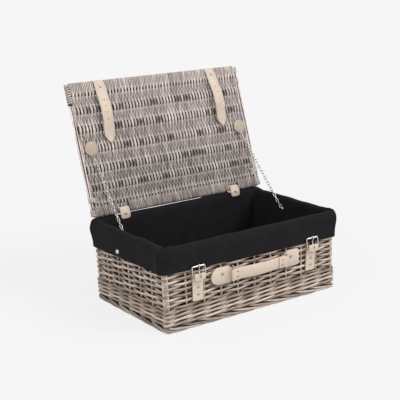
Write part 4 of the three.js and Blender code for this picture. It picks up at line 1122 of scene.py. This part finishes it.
BUCKLE_WIDTH, BUCKLE_HEIGHT, BUCKLE_CORNER = 0.0308, 0.0185, 0.0022
ROLLER_RADIUS, ROLLER_LENGTH, ROLLER_WALL = 0.002, 0.026, 0.0005
PRONG_LOOP = 0.0025
frame_up = np.array([0, math.sin(BUCKLE_LEAN), math.cos(BUCKLE_LEAN)])
frame_out = np.array([0, -math.cos(BUCKLE_LEAN), math.sin(BUCKLE_LEAN)])
clear = ROLLER_RADIUS + 0.0013
prong_corners = [
    *arc((0, 0), PRONG_LOOP, (-240, -180, -135, -90, -45, 0, 45)),
    (0.0012, 0.004), (0.0002, 0.0075), (0.0004, 0.0105), (clear - 0.0006, 0.0152), (clear, 0.0185),
    (clear - 0.0001, 0.0228),
]
prong_line, prong_run = smooth_line(prong_corners, 0.0007)
prong_wide = np.interp(prong_run[-1] - prong_run, (0, 0.0006, 0.006), (0.0005, 0.00085, 0.0011))
for side, sign in SIDES:
    bar = np.array([sign * STRAP_X, BUCKLE_Y, BUCKLE_Z])
    loop = wire_loop(BUCKLE_WIDTH, BUCKLE_HEIGHT, BUCKLE_CORNER)
    wire = rods_piece(f"buckle_wire_{side}", [{
        "points": [bar + np.array([a, 0, 0]) + (b + BUCKLE_HEIGHT / 2) * frame_up for a, b in loop],
        "up": frame_out, "closed": True, "wide": WIRE, "tone": 0.5,
    }], nickel, sides=12)
    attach(wire, f"buckle_{side}")
    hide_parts(f"buckle_frame_{side}")
    bpy.ops.mesh.primitive_cylinder_add(
        vertices=28, radius=ROLLER_RADIUS, depth=ROLLER_LENGTH, end_fill_type="NOTHING",
        location=bar + BUCKLE_HEIGHT * frame_up, rotation=(0, math.pi / 2, 0),
    )
    roller = bpy.context.object
    roller.name = f"buckle_roller_tube_{side}"
    bpy.ops.object.transform_apply(location=True, rotation=True, scale=True)
    thicken(roller, ROLLER_WALL)
    bpy.ops.object.shade_smooth_by_angle(angle=math.radians(40))
    roller.data.materials.append(nickel)
    roller.select_set(False)
    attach(roller, f"roller_{side}")
    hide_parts(f"buckle_roller_{side}")
    prong = rods_piece(f"buckle_prong_wire_{side}", [{
        "points": [bar + a * frame_out + b * frame_up for a, b in prong_line], "up": RIGHT,
        "wide": prong_wide, "tone": 0.5,
    }], nickel, sides=10)
    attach(prong, f"prong_{side}")
    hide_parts(f"buckle_prong_{side}")

# Handle tabs: doubled pale leather at each end of the handle, riveted to the front wall and folded
# round the upright bar of a wire ring. The left tab is rounded, the right one squarer and shorter.
TAB_X, TAB_Z, RING_Y, TAB_HALF, TAB_END = 0.07, 0.097, -0.1431, 0.018, 0.047
SQUARE_ROUNDING, SHORT_FROM, SHORT_SHARE = 0.006, 0.022, 0.82
NECK_LENGTH, NECK_EASE = 0.006, 0.006
TAB_RIVET_X, TAB_RIVET_RISE = 0.02, 0.004
back_layer, front_layer = [FRONT - CLEARANCE - layer * LEATHER for layer in (0.5, 1.5)]
tab_corners = [
    (TAB_END, back_layer), (0.03, back_layer), (0.012, back_layer),
    *arc((0, RING_Y), BAR_REACH, (90, 135, 180, 225, 270)),
    (0.005, RING_Y - BAR_REACH + 0.0012), (0.011, front_layer), (0.02, front_layer), (0.03, front_layer),
    (TAB_END, front_layer),
]
tab_line, _ = smooth_line(tab_corners, 0.0009)
tab_run = tab_line[:, 0]
short_run = np.where(tab_run > SHORT_FROM, SHORT_FROM + (tab_run - SHORT_FROM) * SHORT_SHARE, tab_run)
neck = np.clip(1 - tab_run / NECK_LENGTH, 0, 1)
tab_rivets = []
for side, sign, rounding, run in (("left", -1, TAB_HALF, tab_run), ("right", 1, SQUARE_ROUNDING, short_run)):
    beyond = np.clip((tab_run - TAB_END + rounding) / rounding, 0, 0.999)
    tab_wide = TAB_HALF - rounding * (1 - np.sqrt(1 - beyond**2))
    tab_wide = tab_wide - NECK_EASE * (1 - np.sqrt(np.clip(1 - neck**2, 0, 1)))
    line = [(sign * (TAB_X + x), y, TAB_Z) for x, y in zip(run, tab_line[:, 1])]
    tab = strip_piece(f"handle_tab_leather_{side}", line, UP, tab_wide, LEATHER, pale_leather)
    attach(tab, "hamper")
    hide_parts(f"handle_tab_{side}")
    rivet_at = (sign * (TAB_X + TAB_RIVET_X), front_layer - LEATHER / 2, TAB_Z + TAB_RIVET_RISE)
    tab_rivets.append((rivet_at, FRONTWARD))
tab_heads = rods_piece("handle_tab_rivet_heads", dome_rods(tab_rivets, RIVET_RADIUS), rivet_steel, sides=18)
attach(tab_heads, "hamper")
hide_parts("handle_tab_rivet_left", "handle_tab_rivet_right")

# Handle rings: a round-cornered loop of steel wire through the fold of each tab, standing straight
# out from the wall. Each swings on its tab and carries one end of the handle strap.
RING_LENGTH, RING_HEIGHT, RING_CORNER, RING_SWING = 0.01, 0.0394, 0.003, math.radians(90)
ring_way = np.array([math.cos(RING_SWING), -math.sin(RING_SWING), 0])
for side, sign in SIDES:
    bar = np.array([sign * TAB_X, RING_Y, TAB_Z])
    ring = rods_piece(f"handle_ring_wire_{side}", [{
        "points": [bar + (a + RING_LENGTH / 2) * ring_way + np.array([0, 0, b])
                   for a, b in wire_loop(RING_LENGTH, RING_HEIGHT, RING_CORNER)],
        "up": np.cross(ring_way, UP), "closed": True, "wide": WIRE, "tone": 0.5,
    }], rivet_steel, sides=12)
    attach(ring, f"handle_ring_{side}")
    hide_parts(f"handle_ring_{side}")

# Handle strap: one length of pale leather, each end passed through a ring, folded forward and
# held by two small rivets.
GRIP_HALF, GRIP_BOW, GRIP_EASE = 0.0125, 0.006, 0.0018
FOLD = (0.008, 0.012, 0.016, 0.02)  # distances from a ring along the folded end
GRIP_RIVET_RADIUS, GRIP_RIVET_X, GRIP_RIVET_RISE = 0.0022, 0.012, 0.0055
grip_left, grip_right = [np.array([sign * TAB_X, RING_Y]) + RING_LENGTH * ring_way[:2] for _, sign in SIDES]
grip_back = grip_left[1] + BAR_REACH


def grip_y(x):
    share = (x - grip_left[0]) / (grip_right[0] - grip_left[0])
    return grip_back - GRIP_BOW * math.sin(math.pi * share) ** 2


def grip_front(x):
    return x, grip_y(x) - LEATHER - 0.0001


grip_corners = [
    *[grip_front(grip_left[0] + d) for d in reversed(FOLD)],
    *arc(grip_left, BAR_REACH, (270, 225, 180, 135, 90)),
    *[(x, grip_y(x)) for x in np.linspace(grip_left[0] + FOLD[0], grip_right[0] - FOLD[0], 13)],
    *arc(grip_right, BAR_REACH, (90, 45, 0, -45, -90)),
    *[grip_front(grip_right[0] - d) for d in FOLD],
]
grip_line, grip_run = smooth_line(grip_corners, 0.0015)
from_end = np.minimum(grip_run, grip_run[-1] - grip_run)
grip_wide = GRIP_HALF - GRIP_EASE * np.clip(1 - from_end / GRIP_EASE, 0, 1)
line = [(x, y, TAB_Z) for x, y in grip_line]
grip = strip_piece("handle_strap_leather", line, UP, grip_wide, LEATHER, pale_leather)
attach(grip, "handle")
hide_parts("handle_strap")
grip_rivets = []
for x in (grip_left[0] + GRIP_RIVET_X, grip_right[0] - GRIP_RIVET_X):
    for rise in (GRIP_RIVET_RISE, -GRIP_RIVET_RISE):
        grip_rivets.append(((x, grip_y(x) - 1.5 * LEATHER - 0.0001, TAB_Z + rise), FRONTWARD))
grip_domes = dome_rods(grip_rivets, GRIP_RIVET_RADIUS)
grip_heads = rods_piece("handle_rivet_heads", grip_domes, rivet_steel, sides=16)
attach(grip_heads, "handle")
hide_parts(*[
    f"handle_rivet_{side}_{level}" for side in ("left", "right") for level in ("upper", "lower")
])

# Stay chains: links of bent steel wire, each turned across the one before. A chain runs from a
# rivet inside each end wall to the patch on the lid.
LINK_PITCH, LINK_LENGTH, LINK_WIDTH, LINK_WIRE, LINK_CORNER = 0.0078, 0.0108, 0.0064, 0.00095, 0.0021
CHAIN_X, ANCHOR_Y, ANCHOR_Z = 0.2079, 0.025, 0.15
CHAIN_START, CHAIN_END, CHAIN_LIFT = 0.003, 0.003, 0.0085  # clear of the rivet, under the patch, off the lid
chain_steel = metal_finish("chain_steel", (0.41, 0.405, 0.4), 0.2)
for side, sign in SIDES:
    anchor = np.array([sign * CHAIN_X, ANCHOR_Y, ANCHOR_Z])
    top = on_lid(sign * PATCH_X, PATCH_DISTANCE - PATCH_RADIUS + CHAIN_END, CHAIN_LIFT)[0]
    way = unit(top - anchor)
    start = anchor + way * CHAIN_START
    length = np.linalg.norm(top - start)
    links = round(length / LINK_PITCH)
    first = unit(np.cross(way, RIGHT))
    second = np.cross(way, first)
    chain_rods = []
    for number in range(links):
        middle = start + way * length * (number + 0.5) / links
        twist = math.radians(45 + 90 * (number % 2) + 12 * math.sin(number * 1.7))
        flat = math.cos(twist) * first + math.sin(twist) * second
        loop = wire_loop(LINK_LENGTH - 2 * LINK_WIRE, LINK_WIDTH - 2 * LINK_WIRE, LINK_CORNER, 4)
        chain_rods.append({
            "points": [middle + a * way + b * flat for a, b in loop], "up": np.cross(way, flat),
            "closed": True, "wide": LINK_WIRE, "tone": 0.5,
        })
    chain = rods_piece(f"stay_chain_{side}", chain_rods, chain_steel)
    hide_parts(f"chain_{side}")
    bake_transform(chain)

# Chain anchors and cuff studs: domed nickel-plated heads. An anchor holds each chain to the inside
# of the end wall, and a stud pins the cuff to its outside.
ANCHOR_X, ANCHOR_RADIUS, STUD_RADIUS, HEAD_DOME = 0.2098, 0.004, 0.0055, 0.75
STUD_LEFT, STUD_RIGHT = -0.2264 - CUFF_LEAN, 0.2264
anchor_places = [((sign * ANCHOR_X, ANCHOR_Y, ANCHOR_Z), (-sign, 0, 0)) for _, sign in SIDES]
stud_places = [((x, STUD_Y, STUD_Z), (math.copysign(1, x), 0, 0)) for x in (STUD_LEFT, STUD_RIGHT)]
for name, places, radius in (
    ("chain_anchor", anchor_places, ANCHOR_RADIUS), ("cuff_stud", stud_places, STUD_RADIUS),
):
    heads = rods_piece(f"{name}_heads", dome_rods(places, radius, HEAD_DOME), nickel, sides=20)
    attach(heads, "hamper")
    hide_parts(f"{name}_left", f"{name}_right")

bpy.context.scene.view_settings.view_transform = "Standard"
